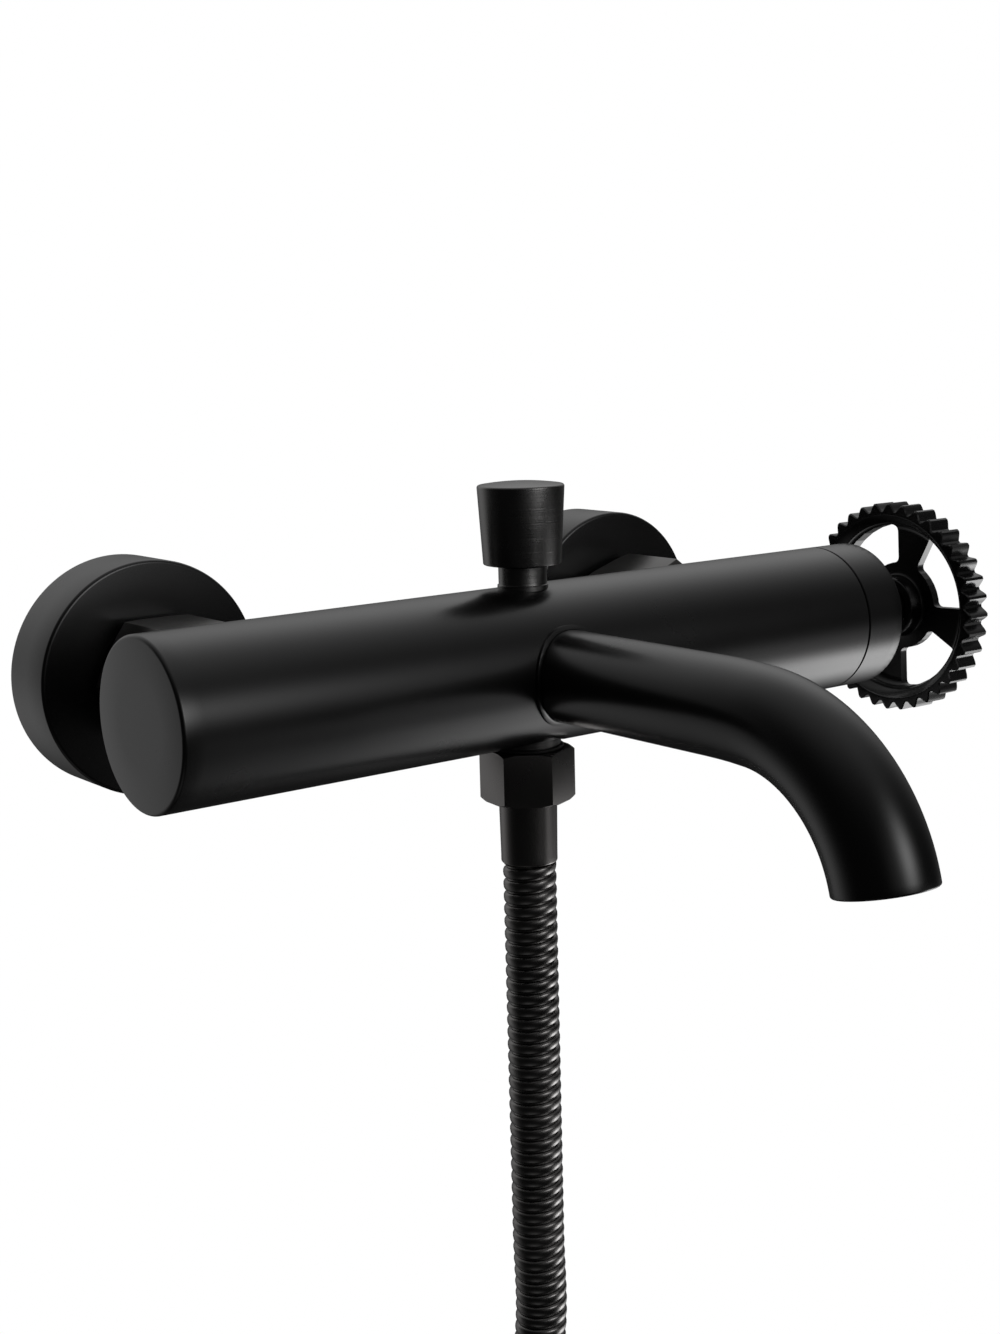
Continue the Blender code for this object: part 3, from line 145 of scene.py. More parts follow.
def soft_box(tree, towards, heading, height, half_width):
    """A light that fades smoothly away from its middle."""
    heading, height = math.radians(heading), math.radians(height)
    flat = math.cos(height)
    middle = (math.sin(heading) * flat, -math.cos(heading) * flat, math.sin(height))
    facing = add_node(tree, "ShaderNodeVectorMath", operation="DOT_PRODUCT")
    facing.inputs[1].default_value = middle
    tree.links.new(towards, facing.inputs[0])
    off = add_math(tree, "SUBTRACT", facing.outputs["Value"], 1.0)
    fall = add_math(tree, "MULTIPLY", off, math.radians(half_width) ** -2)
    return add_math(tree, "EXPONENT", fall)


def split_for_lens(tree, around, seen, output):
    """Gives the lens one shader to see, and everything else the other."""
    lens = add_node(tree, "ShaderNodeLightPath")
    mix = add_node(tree, "ShaderNodeMixShader")
    out = add_node(tree, output)
    tree.links.new(lens.outputs["Is Camera Ray"], mix.inputs["Fac"])
    tree.links.new(around.outputs[0], mix.inputs[1])
    tree.links.new(seen.outputs[0], mix.inputs[2])
    tree.links.new(mix.outputs[0], out.inputs["Surface"])


def studio_light(tree):
    """A dim room and its soft boxes, behind a white that only the lens sees."""
    where = add_node(tree, "ShaderNodeTexCoord")
    total = ROOM_GLOW
    for heading, height, half_width, strength in SOFT_BOXES.values():
        box = soft_box(tree, where.outputs["Generated"], heading, height, half_width)
        total = add_math(tree, "ADD", add_math(tree, "MULTIPLY", box, strength), total)
    glow = add_node(tree, "ShaderNodeBackground")
    tree.links.new(total, glow.inputs["Strength"])
    white = add_node(tree, "ShaderNodeBackground", Strength=1.0, Color=WHITE)
    split_for_lens(tree, glow, white, "ShaderNodeOutputWorld")


studio_light(world.node_tree)

bpy.ops.mesh.primitive_plane_add(size=FLOOR_SIZE, location=(0.0, 0.0, FLOOR_DEPTH))
floor = bpy.context.object
floor.name = "floor"
floor_finish = bpy.data.materials.new("pale_floor")
floor_finish.use_nodes = True
floor_tree = floor_finish.node_tree
floor_tree.nodes.clear()
floor_white = add_node(floor_tree, "ShaderNodeEmission", Strength=1.0)
floor_clear = add_node(floor_tree, "ShaderNodeBsdfTransparent")
split_for_lens(floor_tree, floor_clear, floor_white, "ShaderNodeOutputMaterial")
floor.data.materials.append(floor_finish)


# ---- Hose ---------------------------------------------------------------------------------
# A shower hose, 1.5 m long: one strip of plated metal wound into a sheath with a narrow groove
# between its turns. It hangs from the ferrule, and what isn't in use is coiled and tied.

HOSE_RADIUS = 0.0068
STRIP_PITCH = 0.0033
STRIP_SHAPE = (  # place on the pitch, and depth under the crown
    (0.00, 0.00095), (0.09, 0.00090), (0.17, 0.00022), (0.30, 0.00003),
    (0.55, 0.0), (0.78, 0.00012), (0.91, 0.00040),
)
HOSE_SIDES = 26
HOSE_OUT = -0.072
HOSE_ROUTE = [(x, HOSE_OUT, z) for x, z in (
    (0.0, -0.0507), (0.0, -0.0850), (0.0, -0.1200), (0.0, -0.1520), (0.0, -0.1780),
    (-0.0055, -0.2043), (-0.0177, -0.2243), (-0.0340, -0.2408),
)]
COIL_RADIUS = 0.064
COIL_CENTRE = Vector((-0.005, HOSE_OUT, -0.3023))
COIL_START = math.radians(135)
COIL_TURNS = 3.125
COIL_PITCH = 0.014
TAIL_LENGTH = 0.0460
TAIL_STEPS = 3
COIL_STEPS = 24  # for each turn
SMOOTH_STEPS = 12  # between two points of the route
SHEATH_WELD = 0.000002
WELD = 0.000001
SHEATH_ANGLE = 50.0
SMOOTH_ANGLE = 30.0


def coil_point(turned):
    """A point on the coil, after some turns from where the hose joins it."""
    angle = COIL_START + 2 * math.pi * turned
    return COIL_CENTRE + Vector((
        COIL_RADIUS * math.cos(angle), COIL_PITCH * turned, COIL_RADIUS * math.sin(angle)
    ))


def smooth_line(points):
    """A smooth curve through the points, as many short steps."""
    points = [Vector(point) for point in points]
    padded = [2 * points[0] - points[1], *points, 2 * points[-1] - points[-2]]
    line = []
    for before, start, end, after in zip(padded, padded[1:], padded[2:], padded[3:]):
        for step in range(SMOOTH_STEPS):
            t = step / SMOOTH_STEPS
            line.append(0.5 * (
                2 * start + (end - before) * t
                + (2 * before - 5 * start + 4 * end - after) * t * t
                + (3 * start - before - 3 * end + after) * t * t * t
            ))
    return line + [points[-1]]


class Path:
    """A line with a direction and a steady sideways frame at each distance along it."""

    def __init__(self, points):
        self.points = [Vector(point) for point in points]
        self.along = [0.0]
        for a, b in zip(self.points, self.points[1:]):
            self.along.append(self.along[-1] + (b - a).length)
        self.length = self.along[-1]
        self.frames = []
        side = None
        for k, point in enumerate(self.points):
            ahead = self.points[min(k + 1, len(self.points) - 1)]
            behind = self.points[max(k - 1, 0)]
            forward = (ahead - behind).normalized()
            if side is None:
                side = forward.orthogonal()
            side = (side - side.dot(forward) * forward).normalized()
            self.frames.append((side.copy(), forward.cross(side)))
        self.at = 0

    def place(self, distance):
        """The point, and the two directions across the line, at a distance."""
        distance = min(max(distance, 0.0), self.length)
        while self.at < len(self.points) - 2 and self.along[self.at + 1] < distance:
            self.at += 1
        while self.at > 0 and self.along[self.at] > distance:
            self.at -= 1
        a, b = self.at, self.at + 1
        share = (distance - self.along[a]) / (self.along[b] - self.along[a])
        side = self.frames[a][0].lerp(self.frames[b][0], share)
        up = self.frames[a][1].lerp(self.frames[b][1], share)
        return self.points[a].lerp(self.points[b], share), side, up


def pick(piece):
    """Makes this the only selected object."""
    bpy.ops.object.select_all(action="DESELECT")
    piece.select_set(True)
    bpy.context.view_layer.objects.active = piece


def smooth(piece, angle=SMOOTH_ANGLE):
    """Shades the piece smooth between edges that are sharper than the angle."""
    pick(piece)
    bpy.ops.object.shade_smooth_by_angle(angle=math.radians(angle))
    return piece


def wound_tube(name, path, radius, pitch, shape, sides):
    """A closed tube whose surface follows a helix: shape gives (place, depth) over one pitch."""
    rows = len(shape)
    turns = math.ceil(path.length / pitch) + 1
    core = radius - max(depth for _, depth in shape)
    columns = []
    for side in range(sides):
        angle = 2 * math.pi * side / sides
        column = []
        for turn in range(turns + 1):
            for share, depth in shape:
                distance = (turn - 1 + share + side / sides) * pitch
                inside = 0.0 < distance < path.length
                spot, across, up = path.place(distance)
                reach = radius - depth if inside else core
                column.append(spot + reach * (math.cos(angle) * across + math.sin(angle) * up))
        columns.append(column)
    count = len(columns[0])
    points = [point for column in columns for point in column]
    faces = []
    for side in range(sides):
        after = (side + 1) % sides
        shift = rows if after == 0 else 0
        for row in range(count - 1 - shift):
            a, b = side * count + row, after * count + row + shift
            faces.append((a, b, b + 1, a + 1))
    faces.append([side * count for side in range(sides)])
    faces.append([side * count + count - 1 for side in reversed(range(sides))])
    mesh = bpy.data.meshes.new(name)
    mesh.from_pydata(points, [], faces)
    piece = bpy.data.objects.new(name, mesh)
    bpy.context.scene.collection.objects.link(piece)
    pick(piece)
    bpy.ops.object.mode_set(mode="EDIT")
    bpy.ops.mesh.select_all(action="SELECT")
    bpy.ops.mesh.remove_doubles(threshold=SHEATH_WELD)
    bpy.ops.mesh.dissolve_degenerate(threshold=WELD)
    bpy.ops.mesh.normals_make_consistent(inside=False)
    bpy.ops.object.mode_set(mode="OBJECT")
    return smooth(piece, SHEATH_ANGLE)


def value_group(name, inputs, outputs):
    """An empty node group with these number sockets."""
    group = bpy.data.node_groups.new(name, "ShaderNodeTree")
    for label, start in inputs:
        socket = group.interface.new_socket(label, in_out="INPUT", socket_type="NodeSocketFloat")
        socket.default_value = start
    for label in outputs:
        group.interface.new_socket(label, in_out="OUTPUT", socket_type="NodeSocketFloat")
    return group, add_node(group, "NodeGroupInput"), add_node(group, "NodeGroupOutput")


def make_surface_life():
    """Fine grain for bump, and soft handling marks for roughness."""
    group, given, out = value_group(
        "surface_life", (("Grain per metre", 1500.0), ("Marks per metre", 30.0)),
        ("Grain", "Marks"),
    )
    where = add_node(group, "ShaderNodeTexCoord")
    for name, detail, roughness in (("Grain", 3.0, 0.6), ("Marks", 5.0, 0.55)):
        noise = add_node(group, "ShaderNodeTexNoise", Detail=detail, Roughness=roughness)
        group.links.new(where.outputs["Object"], noise.inputs["Vector"])
        group.links.new(given.outputs[name + " per metre"], noise.inputs["Scale"])
        group.links.new(noise.outputs["Fac"], out.inputs[name])
    return group


surface_life = make_surface_life()
MARKS_RANGE = (0.3, 0.7)  # between which nearly all of the noise lies
TINTS = (0.9, 1.1)  # of the colour, at the two ends of that range


def finish_material(name, colour, metallic, roughness, spread, grain, relief, specular=0.5):
    """A material whose roughness varies by spread, with a fine grain that stands up by relief."""
    material = bpy.data.materials.new(name)
    material.use_nodes = True
    tree = material.node_tree
    shader = tree.nodes["Principled BSDF"]
    shader.inputs["Metallic"].default_value = metallic
    shader.inputs["Specular IOR Level"].default_value = specular
    own = {"Grain per metre": grain}
    life = add_node(tree, "ShaderNodeGroup", node_tree=surface_life, **own)
    rough = add_node(tree, "ShaderNodeMapRange", **{
        "From Min": MARKS_RANGE[0], "From Max": MARKS_RANGE[1],
        "To Min": roughness - spread, "To Max": roughness + spread,
    })
    tint = add_node(tree, "ShaderNodeMix", data_type="RGBA")
    for end, share in zip("AB", TINTS):
        tint.inputs[end].default_value = (*(share * part for part in colour), 1.0)
    bump = add_node(tree, "ShaderNodeBump", Distance=relief)
    links = tree.links
    links.new(life.outputs["Marks"], rough.inputs["Value"])
    links.new(rough.outputs["Result"], shader.inputs["Roughness"])
    links.new(life.outputs["Marks"], tint.inputs["Factor"])
    links.new(tint.outputs["Result"], shader.inputs["Base Color"])
    links.new(life.outputs["Grain"], bump.inputs["Height"])
    links.new(bump.outputs["Normal"], shader.inputs["Normal"])
    return material


def dress(piece, body, slot, material, *nodes):
    """Paints a piece, puts it on its body and lets it stand for its CAD nodes."""
    piece.data.materials.clear()
    piece.data.materials.append(material)
    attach(piece, body)
    if nodes:
        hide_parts(*nodes)


hose_turns = [coil_point(k / COIL_STEPS) for k in range(round(COIL_TURNS * COIL_STEPS) + 1)]
tail_top = coil_point(COIL_TURNS)
tail = [
    tail_top - Vector((0.0, 0.0, TAIL_LENGTH * k / TAIL_STEPS)) for k in range(1, TAIL_STEPS + 1)
]
hose_line = smooth_line([*HOSE_ROUTE, *hose_turns, *tail])
hose = wound_tube("hose", Path(hose_line), HOSE_RADIUS, STRIP_PITCH, STRIP_SHAPE, HOSE_SIDES)
hose_finish = finish_material(
    "wound_sheath", (0.170, 0.165, 0.162), 1.0, 0.26, 0.05, 2500.0, 0.00002
)
dress(hose, "base", "hose_sheath", hose_finish, "hose_tube", "hose_coil")


# ---- Coil tie -----------------------------------------------------------------------------
# A soft black strap round the coil's turns, with a small keeper bar across it.

TIE_WIDTH = 0.012
TIE_THICKNESS = 0.0011
TIE_ROUNDING = 0.0058
TIE_EDGE = 0.3  # of its thickness
TIE_SLACK = 0.0001
TIE_SAG = 0.0004
TIED_TURNS = (1, 3)
COIL_TOP = 0.125  # turns from the top of the coil to its start
KEEPER_WIDTH = 0.0035
KEEPER_SLACK = 0.0002
FLAT_ENOUGH = 0.9


def new_piece(name, primitive, **sizes):
    """A primitive with nothing else selected."""
    bpy.ops.object.select_all(action="DESELECT")
    primitive(**sizes)
    piece = bpy.context.object
    piece.name = name
    return piece


def modify(piece, kind, **settings):
    """Puts one modifier with these settings on a piece and applies it."""
    pick(piece)
    modifier = piece.modifiers.new(kind.lower(), kind)
    for name, value in settings.items():
        setattr(modifier, name, value)
    bpy.ops.object.modifier_apply(modifier=modifier.name)
    return piece


def finish_edges(piece, width, segments=3, angle=SMOOTH_ANGLE):
    """Rounds every edge sharper than the angle, then shades the piece smooth."""
    modify(
        piece, "BEVEL", width=width, segments=segments, limit_method="ANGLE",
        angle_limit=math.radians(angle), use_clamp_overlap=True,
    )
    return smooth(piece, angle)


def settle(piece):
    """Puts the piece's place and turn into its mesh."""
    pick(piece)
    bpy.ops.object.transform_apply(location=True, rotation=True, scale=True)
    return piece


def strap_loop(name, low, high, width, rounding):
    """A closed band round a bundle, from a box with its two ends taken off."""
    band = new_piece(name, bpy.ops.mesh.primitive_cube_add, size=1.0, location=(low + high) / 2)
    band.scale = (width, high.y - low.y, high.z - low.z)
    settle(band)
    bpy.ops.object.mode_set(mode="EDIT")
    bpy.ops.mesh.select_all(action="DESELECT")
    bpy.ops.object.mode_set(mode="OBJECT")
    for edge in band.data.edges:
        a, b = (band.data.vertices[k].co for k in edge.vertices)
        edge.select = abs(a.x - b.x) > width / 2
    bpy.ops.object.mode_set(mode="EDIT")
    bpy.ops.mesh.select_mode(type="EDGE")
    bpy.ops.mesh.bevel(offset=rounding, segments=8, affect="EDGES")
    bpy.ops.mesh.select_mode(type="FACE")
    bpy.ops.mesh.select_all(action="DESELECT")
    bpy.ops.object.mode_set(mode="OBJECT")
    for face in band.data.polygons:
        face.select = abs(face.normal.x) > FLAT_ENOUGH
    bpy.ops.object.mode_set(mode="EDIT")
    bpy.ops.mesh.delete(type="FACE")
    bpy.ops.mesh.select_mode(type="VERT")
    bpy.ops.object.mode_set(mode="OBJECT")
    modify(band, "SOLIDIFY", thickness=TIE_THICKNESS, offset=1.0)
    return finish_edges(band, TIE_THICKNESS * TIE_EDGE)


first_y, last_y = (COIL_CENTRE.y + COIL_PITCH * (turn - COIL_TOP) for turn in TIED_TURNS)
coil_top = COIL_CENTRE.z + COIL_RADIUS
tie_reach = HOSE_RADIUS + TIE_SLACK
tie_low = Vector((COIL_CENTRE.x, first_y - tie_reach, coil_top - tie_reach - TIE_SAG))
tie_high = Vector((COIL_CENTRE.x, last_y + tie_reach, coil_top + tie_reach))
tie = strap_loop("tie_strap", tie_low, tie_high, TIE_WIDTH, TIE_ROUNDING)
grip = TIE_THICKNESS + KEEPER_SLACK
around_tie = Vector((0.0, grip, grip))
keeper = strap_loop(
    "tie_keeper", tie_low - around_tie, tie_high + around_tie, KEEPER_WIDTH, TIE_ROUNDING + grip
)
rubber_finish = finish_material("rubber", (0.014, 0.014, 0.014), 0.0, 0.62, 0.08, 3000.0, 0.00004)
dress(tie, "base", "rubber", rubber_finish, "coil_tie")
dress(keeper, "base", "rubber", rubber_finish)


# ---- Hose ends ----------------------------------------------------------------------------
# Plated brass. At the faucet a hexagon nut holds the flanged insert, and a plain ferrule is
# pressed over the sheath. The far end has the same ferrule and a fluted cone for the hand.

ORIGIN = (0.0, 0.0, 0.0)
UPRIGHT = (0.0, 0.0, 0.0)
LATHE_STEPS = 96
BORE_STEPS = 64
CLEAR = 0.001  # by which a cutter stands out of what it cuts
CUT_STEPS = 150
NUT_RIM = 0.90  # of the corners' radius, where the chamfer starts
NUT_CUT = 1.2  # of the corners' radius, where the chamfer's cutter ends
NUT_CHAMFER = math.tan(math.radians(30))
NUT_EDGE = 0.00025
NUT_ANGLE = 25.0
NUT_CORNER = 0.0120
NUT_TURN = math.radians(-7)
NUT_THREAD_FLOOR = 0.0030
NUT_OVERLAP = 0.0005  # of two bores that meet
LOOSE = 0.0003
HOSE_BORE = 0.0061
FERRULE_WALL = 0.0012
FERRULE_TAPER = 0.0002
FERRULE_FOOT = 0.0020
FERRULE_HEAD = 0.0006
FERRULE_LIP = 0.0005
CONE_TAPER = 0.0030
CONE_EDGE = 0.0006
CONE_THREAD = 0.0104
CONE_THREAD_DEPTH = 0.0130
CONE_CHAMFER = 0.0004
CONE_FOOT = (0.0034, 0.0038, 0.0042)  # heights of the plain foot, the step and the flank
CONE_STEP = 0.0001
CONE_ENDS = 0.0064  # what the flank leaves of the height
CONE_HEAD = 0.0016
CONE_STEPS = 12
FLUTES = 24
FLUTE_DEPTH = 0.0004
FLUTE_BOTTOM = 0.0040
FLUTE_TOP = 0.0018
FLUTE_REACH = 0.0036
FLUTE_WIDTH = 0.8  # of the room that each flute has
FLUTE_FACETS = 10


def start_point(name, spot):
    """A new piece of one point, left in edit mode to be drawn out."""
    piece = new_piece(name, bpy.ops.mesh.primitive_plane_add, size=0.001)
    bpy.ops.object.mode_set(mode="EDIT")
    bpy.ops.mesh.merge(type="CENTER")
    bpy.ops.transform.translate(value=spot)
    return piece


def draw_out(x, y, z):
    """Extrudes what is selected, in edit mode."""
    bpy.ops.mesh.extrude_region_move(TRANSFORM_OT_translate={"value": (x, y, z)})


def weld_up():
    """Joins the points that meet, turns all faces outwards and leaves edit mode."""
    bpy.ops.mesh.select_all(action="SELECT")
    bpy.ops.mesh.remove_doubles(threshold=WELD)
    bpy.ops.mesh.normals_make_consistent(inside=False)
    bpy.ops.object.mode_set(mode="OBJECT")


def lathe(name, outline, centre=ORIGIN, turn=UPRIGHT, steps=LATHE_STEPS):
    """Spins an outline of (radius, height) points about its own upright axis.

    An outline that starts away from the axis is closed by a line back to its first point.
    """
    if outline[0][0] > 0.0:
        outline = [*outline, outline[0]]
    piece = start_point(name, (outline[0][0], 0.0, outline[0][1]))
    for (r0, z0), (r1, z1) in zip(outline, outline[1:]):
        draw_out(r1 - r0, 0.0, z1 - z0)
    bpy.ops.mesh.select_all(action="SELECT")
    bpy.ops.mesh.spin(steps=steps, angle=2 * math.pi, center=(0, 0, 0), axis=(0, 0, 1))
    weld_up()
    piece.location = centre
    piece.rotation_euler = turn
    return smooth(settle(piece))


def arc(centre, radius, start, end, steps=6):
    """Outline points on a circle, from one angle to another in degrees."""
    r, z = centre
    angles = [math.radians(start + (end - start) * k / steps) for k in range(steps + 1)]
    return [(r + radius * math.cos(a), z + radius * math.sin(a)) for a in angles]


def carve(piece, tool, operation="DIFFERENCE"):
    """Cuts, joins or keeps what a second shape covers, and removes that shape."""
    modify(piece, "BOOLEAN", operation=operation, solver="MANIFOLD", object=tool)
    bpy.data.objects.remove(tool)
    return piece


def plug(radius, low, high):
    """The outline of a plain bar."""
    return [(0.0, low), (radius, low), (radius, high), (0.0, high)]


def hexagon_nut(name, low, high, corner, bores, centre, turn, spin):
    """A six sided bar, chamfered at both ends and bored."""
    nut = new_piece(
        name, bpy.ops.mesh.primitive_cylinder_add, vertices=6, radius=corner, depth=high - low
    )
    nut.rotation_euler = (0.0, 0.0, spin)
    nut.location = (0.0, 0.0, (low + high) / 2)
    settle(nut)
    rim = corner * NUT_RIM
    wide = corner * NUT_CUT
    drop = (wide - rim) * NUT_CHAMFER
    outline = [
        (0.0, low), (rim, low), (wide, low + drop), (wide, high - drop), (rim, high), (0.0, high)
    ]
    carve(nut, lathe(name + "_cone", outline, steps=CUT_STEPS), "INTERSECT")
    for radius, start, end in bores:
        carve(nut, lathe(name + "_bore", plug(radius, start, end)))
    finish_edges(nut, NUT_EDGE, angle=NUT_ANGLE)
    nut.location = centre
    nut.rotation_euler = turn
    return settle(nut)


def axis_of(node):
    """The foot of a node's upright axis, at height 0."""
    low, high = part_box(node)
    return (low.x + high.x) / 2, (low.y + high.y) / 2, 0.0


def radius_of(node, side=0):
    """Half of a node's box along X, or along the axis with this number."""
    low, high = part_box(node)
    return (high[side] - low[side]) / 2


def ferrule(name, node):
    """A plain sleeve, a little slimmer and rounded at its lower end."""
    top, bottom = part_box(node)[1].z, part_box(node)[0].z
    radius = radius_of(node)
    bore = radius - FERRULE_WALL
    slim = radius - FERRULE_TAPER
    outline = [
        (bore, bottom + FERRULE_WALL), (bore, bottom),
        *arc((slim - FERRULE_LIP, bottom + FERRULE_LIP), FERRULE_LIP, -90, 0),
        (slim, bottom + FERRULE_FOOT), (radius, top - FERRULE_HEAD),
        *arc((radius - FERRULE_LIP, top - FERRULE_LIP), FERRULE_LIP, 0, 90),
        (bore, top),
    ]
    return lathe(name, outline, axis_of(node))


nut_low, nut_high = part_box("hose_nut")
nut_floor = nut_low.z + NUT_THREAD_FLOOR
outlet_radius = radius_of("outlet_nipple")
hose_nut = hexagon_nut(
    "swivel_nut", nut_low.z, nut_high.z, NUT_CORNER,
    (
        (outlet_radius + LOOSE, nut_floor, nut_high.z + CLEAR),
        (HOSE_BORE, nut_low.z - CLEAR, nut_floor + NUT_OVERLAP),
    ),
    axis_of("outlet_nipple"), UPRIGHT, NUT_TURN,
)
hose_metal_finish = finish_material(
    "black_plating", (0.170, 0.163, 0.160), 1.0, 0.28, 0.05, 2200.0, 0.000012
)
dress(hose_nut, "base", "hose_metal", hose_metal_finish, "hose_nut")
near_ferrule = ferrule("near_ferrule", "hose_ferrule")
dress(near_ferrule, "base", "hose_metal", hose_metal_finish, "hose_ferrule")
far_ferrule_piece = ferrule("end_ferrule", "far_ferrule")
dress(far_ferrule_piece, "base", "hose_metal", hose_metal_finish, "far_ferrule")


def fluted_cone():
    """The cone at the hose's far end: a plain foot, a fluted flank and a thread inside."""
    low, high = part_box("far_nut")
    foot = radius_of("far_nut")
    head = foot - CONE_TAPER
    inside = low.z + CONE_THREAD_DEPTH
    plain, step, flank = (low.z + height for height in CONE_FOOT)
    flank_height = high.z - low.z - CONE_ENDS
    outline = [
        (CONE_THREAD, low.z + CONE_CHAMFER), (CONE_THREAD + CONE_CHAMFER, low.z),
        *arc((foot - CONE_EDGE, low.z + CONE_EDGE), CONE_EDGE, -90, 0),
        (foot, plain), (foot - CONE_STEP, step),
        *((foot + (head - foot) * k / CONE_STEPS, flank + flank_height * k / CONE_STEPS)
          for k in range(CONE_STEPS + 1)),
        (head, high.z - CONE_HEAD),
        *arc((head - CONE_EDGE, high.z - CONE_EDGE), CONE_EDGE, 5, 90),
        (HOSE_BORE, high.z), (HOSE_BORE, inside), (CONE_THREAD, inside),
    ]
    cone = lathe("end_nut", outline, steps=FLUTES * FLUTE_FACETS)
    bottom, top = low.z + FLUTE_BOTTOM, high.z - FLUTE_TOP
    for point in cone.data.vertices:
        radius = math.hypot(point.co.x, point.co.y)
        if radius < foot - FLUTE_REACH or not bottom < point.co.z < top:
            continue
        turn = math.atan2(point.co.y, point.co.x) / (2 * math.pi) * FLUTES
        across = abs((turn + 0.5) % 1.0 - 0.5) * 2.0
        depth = FLUTE_DEPTH * max(0.0, 1.0 - (across / FLUTE_WIDTH) ** 2)
        point.co.x *= 1.0 - depth / radius
        point.co.y *= 1.0 - depth / radius
    cone.location = axis_of("far_nut")
    return settle(cone)


end_nut = fluted_cone()
dress(end_nut, "base", "hose_metal", hose_metal_finish, "far_nut")


# ---- Body ---------------------------------------------------------------------------------
# A round brass casting with a satin black powder coating. Its left end is closed and broken by
# a small turned radius; the right end takes the cartridge, and the back has two inlet bosses.

body_low, body_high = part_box("body")
BODY_RADIUS = radius_of("body", 2)
AXIS = Vector((0.0, body_low.y + BODY_RADIUS, 0.0))
ALONG_X = (0.0, math.pi / 2, 0.0)
TO_WALL = (-math.pi / 2, 0.0, 0.0)
FROM_WALL = (math.pi / 2, 0.0, 0.0)
END_RADIUS = 0.0009
BODY_LIP = 0.0002
BODY_STEPS = 192
BODY_RINGS = 48
INLET_X = 0.075
BOSS_RADIUS = 0.0130
SEAT_RADIUS = 0.0128
SEAT_DEPTH = 0.0243
PORT_RADIUS = 0.0091
PORT_DEPTH = 0.0050
BODY_BORES = {  # radius, and the heights where each starts and ends
    "bonnet": (0.0063, 0.0007, BODY_RADIUS + CLEAR),
    "chamber": (0.0075, -BODY_RADIUS - CLEAR, 0.0082),
    "outlet": (0.0093, -BODY_RADIUS - CLEAR, -0.0152),
}
SPOUT_Z = -0.0007
SPOUT_WAY = 0.0080
SPOUT_WAY_START = 0.0017


def barrel(name, radius, low, high, steps=LATHE_STEPS, centre=AXIS, turn=ALONG_X):
    """A plain round bar, along the body unless it is turned."""
    return lathe(name, plug(radius, low, high), centre, turn, steps)


def make_body():
    """The casting: turned outside, with a seat, two bosses, three bores and the spout's way."""
    left, right, back = body_low.x, body_high.x, body_high.y
    sides = [left + END_RADIUS + (right - BODY_LIP - left - END_RADIUS) * k / BODY_RINGS
             for k in range(1, BODY_RINGS + 1)]
    outline = [
        (0.0, left), (BODY_RADIUS * 0.5, left),
        *arc((BODY_RADIUS - END_RADIUS, left + END_RADIUS), END_RADIUS, -90, 0),
        *((BODY_RADIUS, x) for x in sides),
        (BODY_RADIUS - BODY_LIP, right), (SEAT_RADIUS, right), (SEAT_RADIUS, right - SEAT_DEPTH),
        (0.0, right - SEAT_DEPTH),
    ]
    body = lathe("body_casting", outline, AXIS, ALONG_X, BODY_STEPS)
    for side in (-1, 1):
        spot = (side * INLET_X, 0.0, 0.0)
        start = AXIS.y + BODY_RADIUS * 0.6
        boss = barrel("boss", BOSS_RADIUS, start, back, LATHE_STEPS, spot, TO_WALL)
        carve(body, boss, "UNION")
        port_floor = back - PORT_DEPTH
        port = barrel("port", PORT_RADIUS, port_floor, back + CLEAR, BORE_STEPS, spot, TO_WALL)
        carve(body, port)
    for name, (radius, low, high) in BODY_BORES.items():
        carve(body, barrel(name, radius, low, high, BORE_STEPS, AXIS, UPRIGHT))
    carve(body, barrel(
        "spout_way", SPOUT_WAY, SPOUT_WAY_START, BODY_RADIUS + CLEAR, BORE_STEPS,
        (0.0, AXIS.y, SPOUT_Z), FROM_WALL,
    ))
    return smooth(body)


coating_finish = finish_material(
    "black_powder_coat", (0.0030, 0.0030, 0.0031), 0.0, 0.26, 0.015, 2600.0, 0.000006, 0.65
)
body_casting = make_body()
dress(body_casting, "base", "black_coating", coating_finish, "body")


# ---- End ring -----------------------------------------------------------------------------
# The turned cap past the thin groove at the right end, coated like the body. It screws over
# the cartridge nut and leaves a small clearance round the handle's stem.

ring_start, ring_end = (corner.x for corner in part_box("end_ring"))
RING_WALL = 0.0024
RING_LIP = 0.0002
RING_EDGE = 0.0007
RING_HOLE = 0.0066
HOLE_EDGE = 0.0004
HOLE_FLAT = 0.0006
ring_outline = [
    (BODY_RADIUS - RING_WALL, ring_start),
    (BODY_RADIUS - RING_LIP, ring_start),
    (BODY_RADIUS, ring_start + RING_LIP),
    *((BODY_RADIUS, ring_start + (ring_end - ring_start - RING_EDGE) * k / 4) for k in (1, 2, 3)),
    *arc((BODY_RADIUS - RING_EDGE, ring_end - RING_EDGE), RING_EDGE, 0, 90),
    (RING_HOLE + HOLE_FLAT, ring_end),
    *arc((RING_HOLE + HOLE_EDGE, ring_end - HOLE_EDGE), HOLE_EDGE, 90, 180, 3),
    (RING_HOLE, ring_end - RING_WALL),
    (BODY_RADIUS - RING_WALL, ring_end - RING_WALL),
]
end_ring = lathe("end_cap_ring", ring_outline, AXIS, ALONG_X, BODY_STEPS)
dress(end_ring, "base", "black_coating", coating_finish, "end_ring")


# ---- Handle stem --------------------------------------------------------------------------
# A turned stem, plated gun metal, which joins the cartridge's spindle to the handwheel.

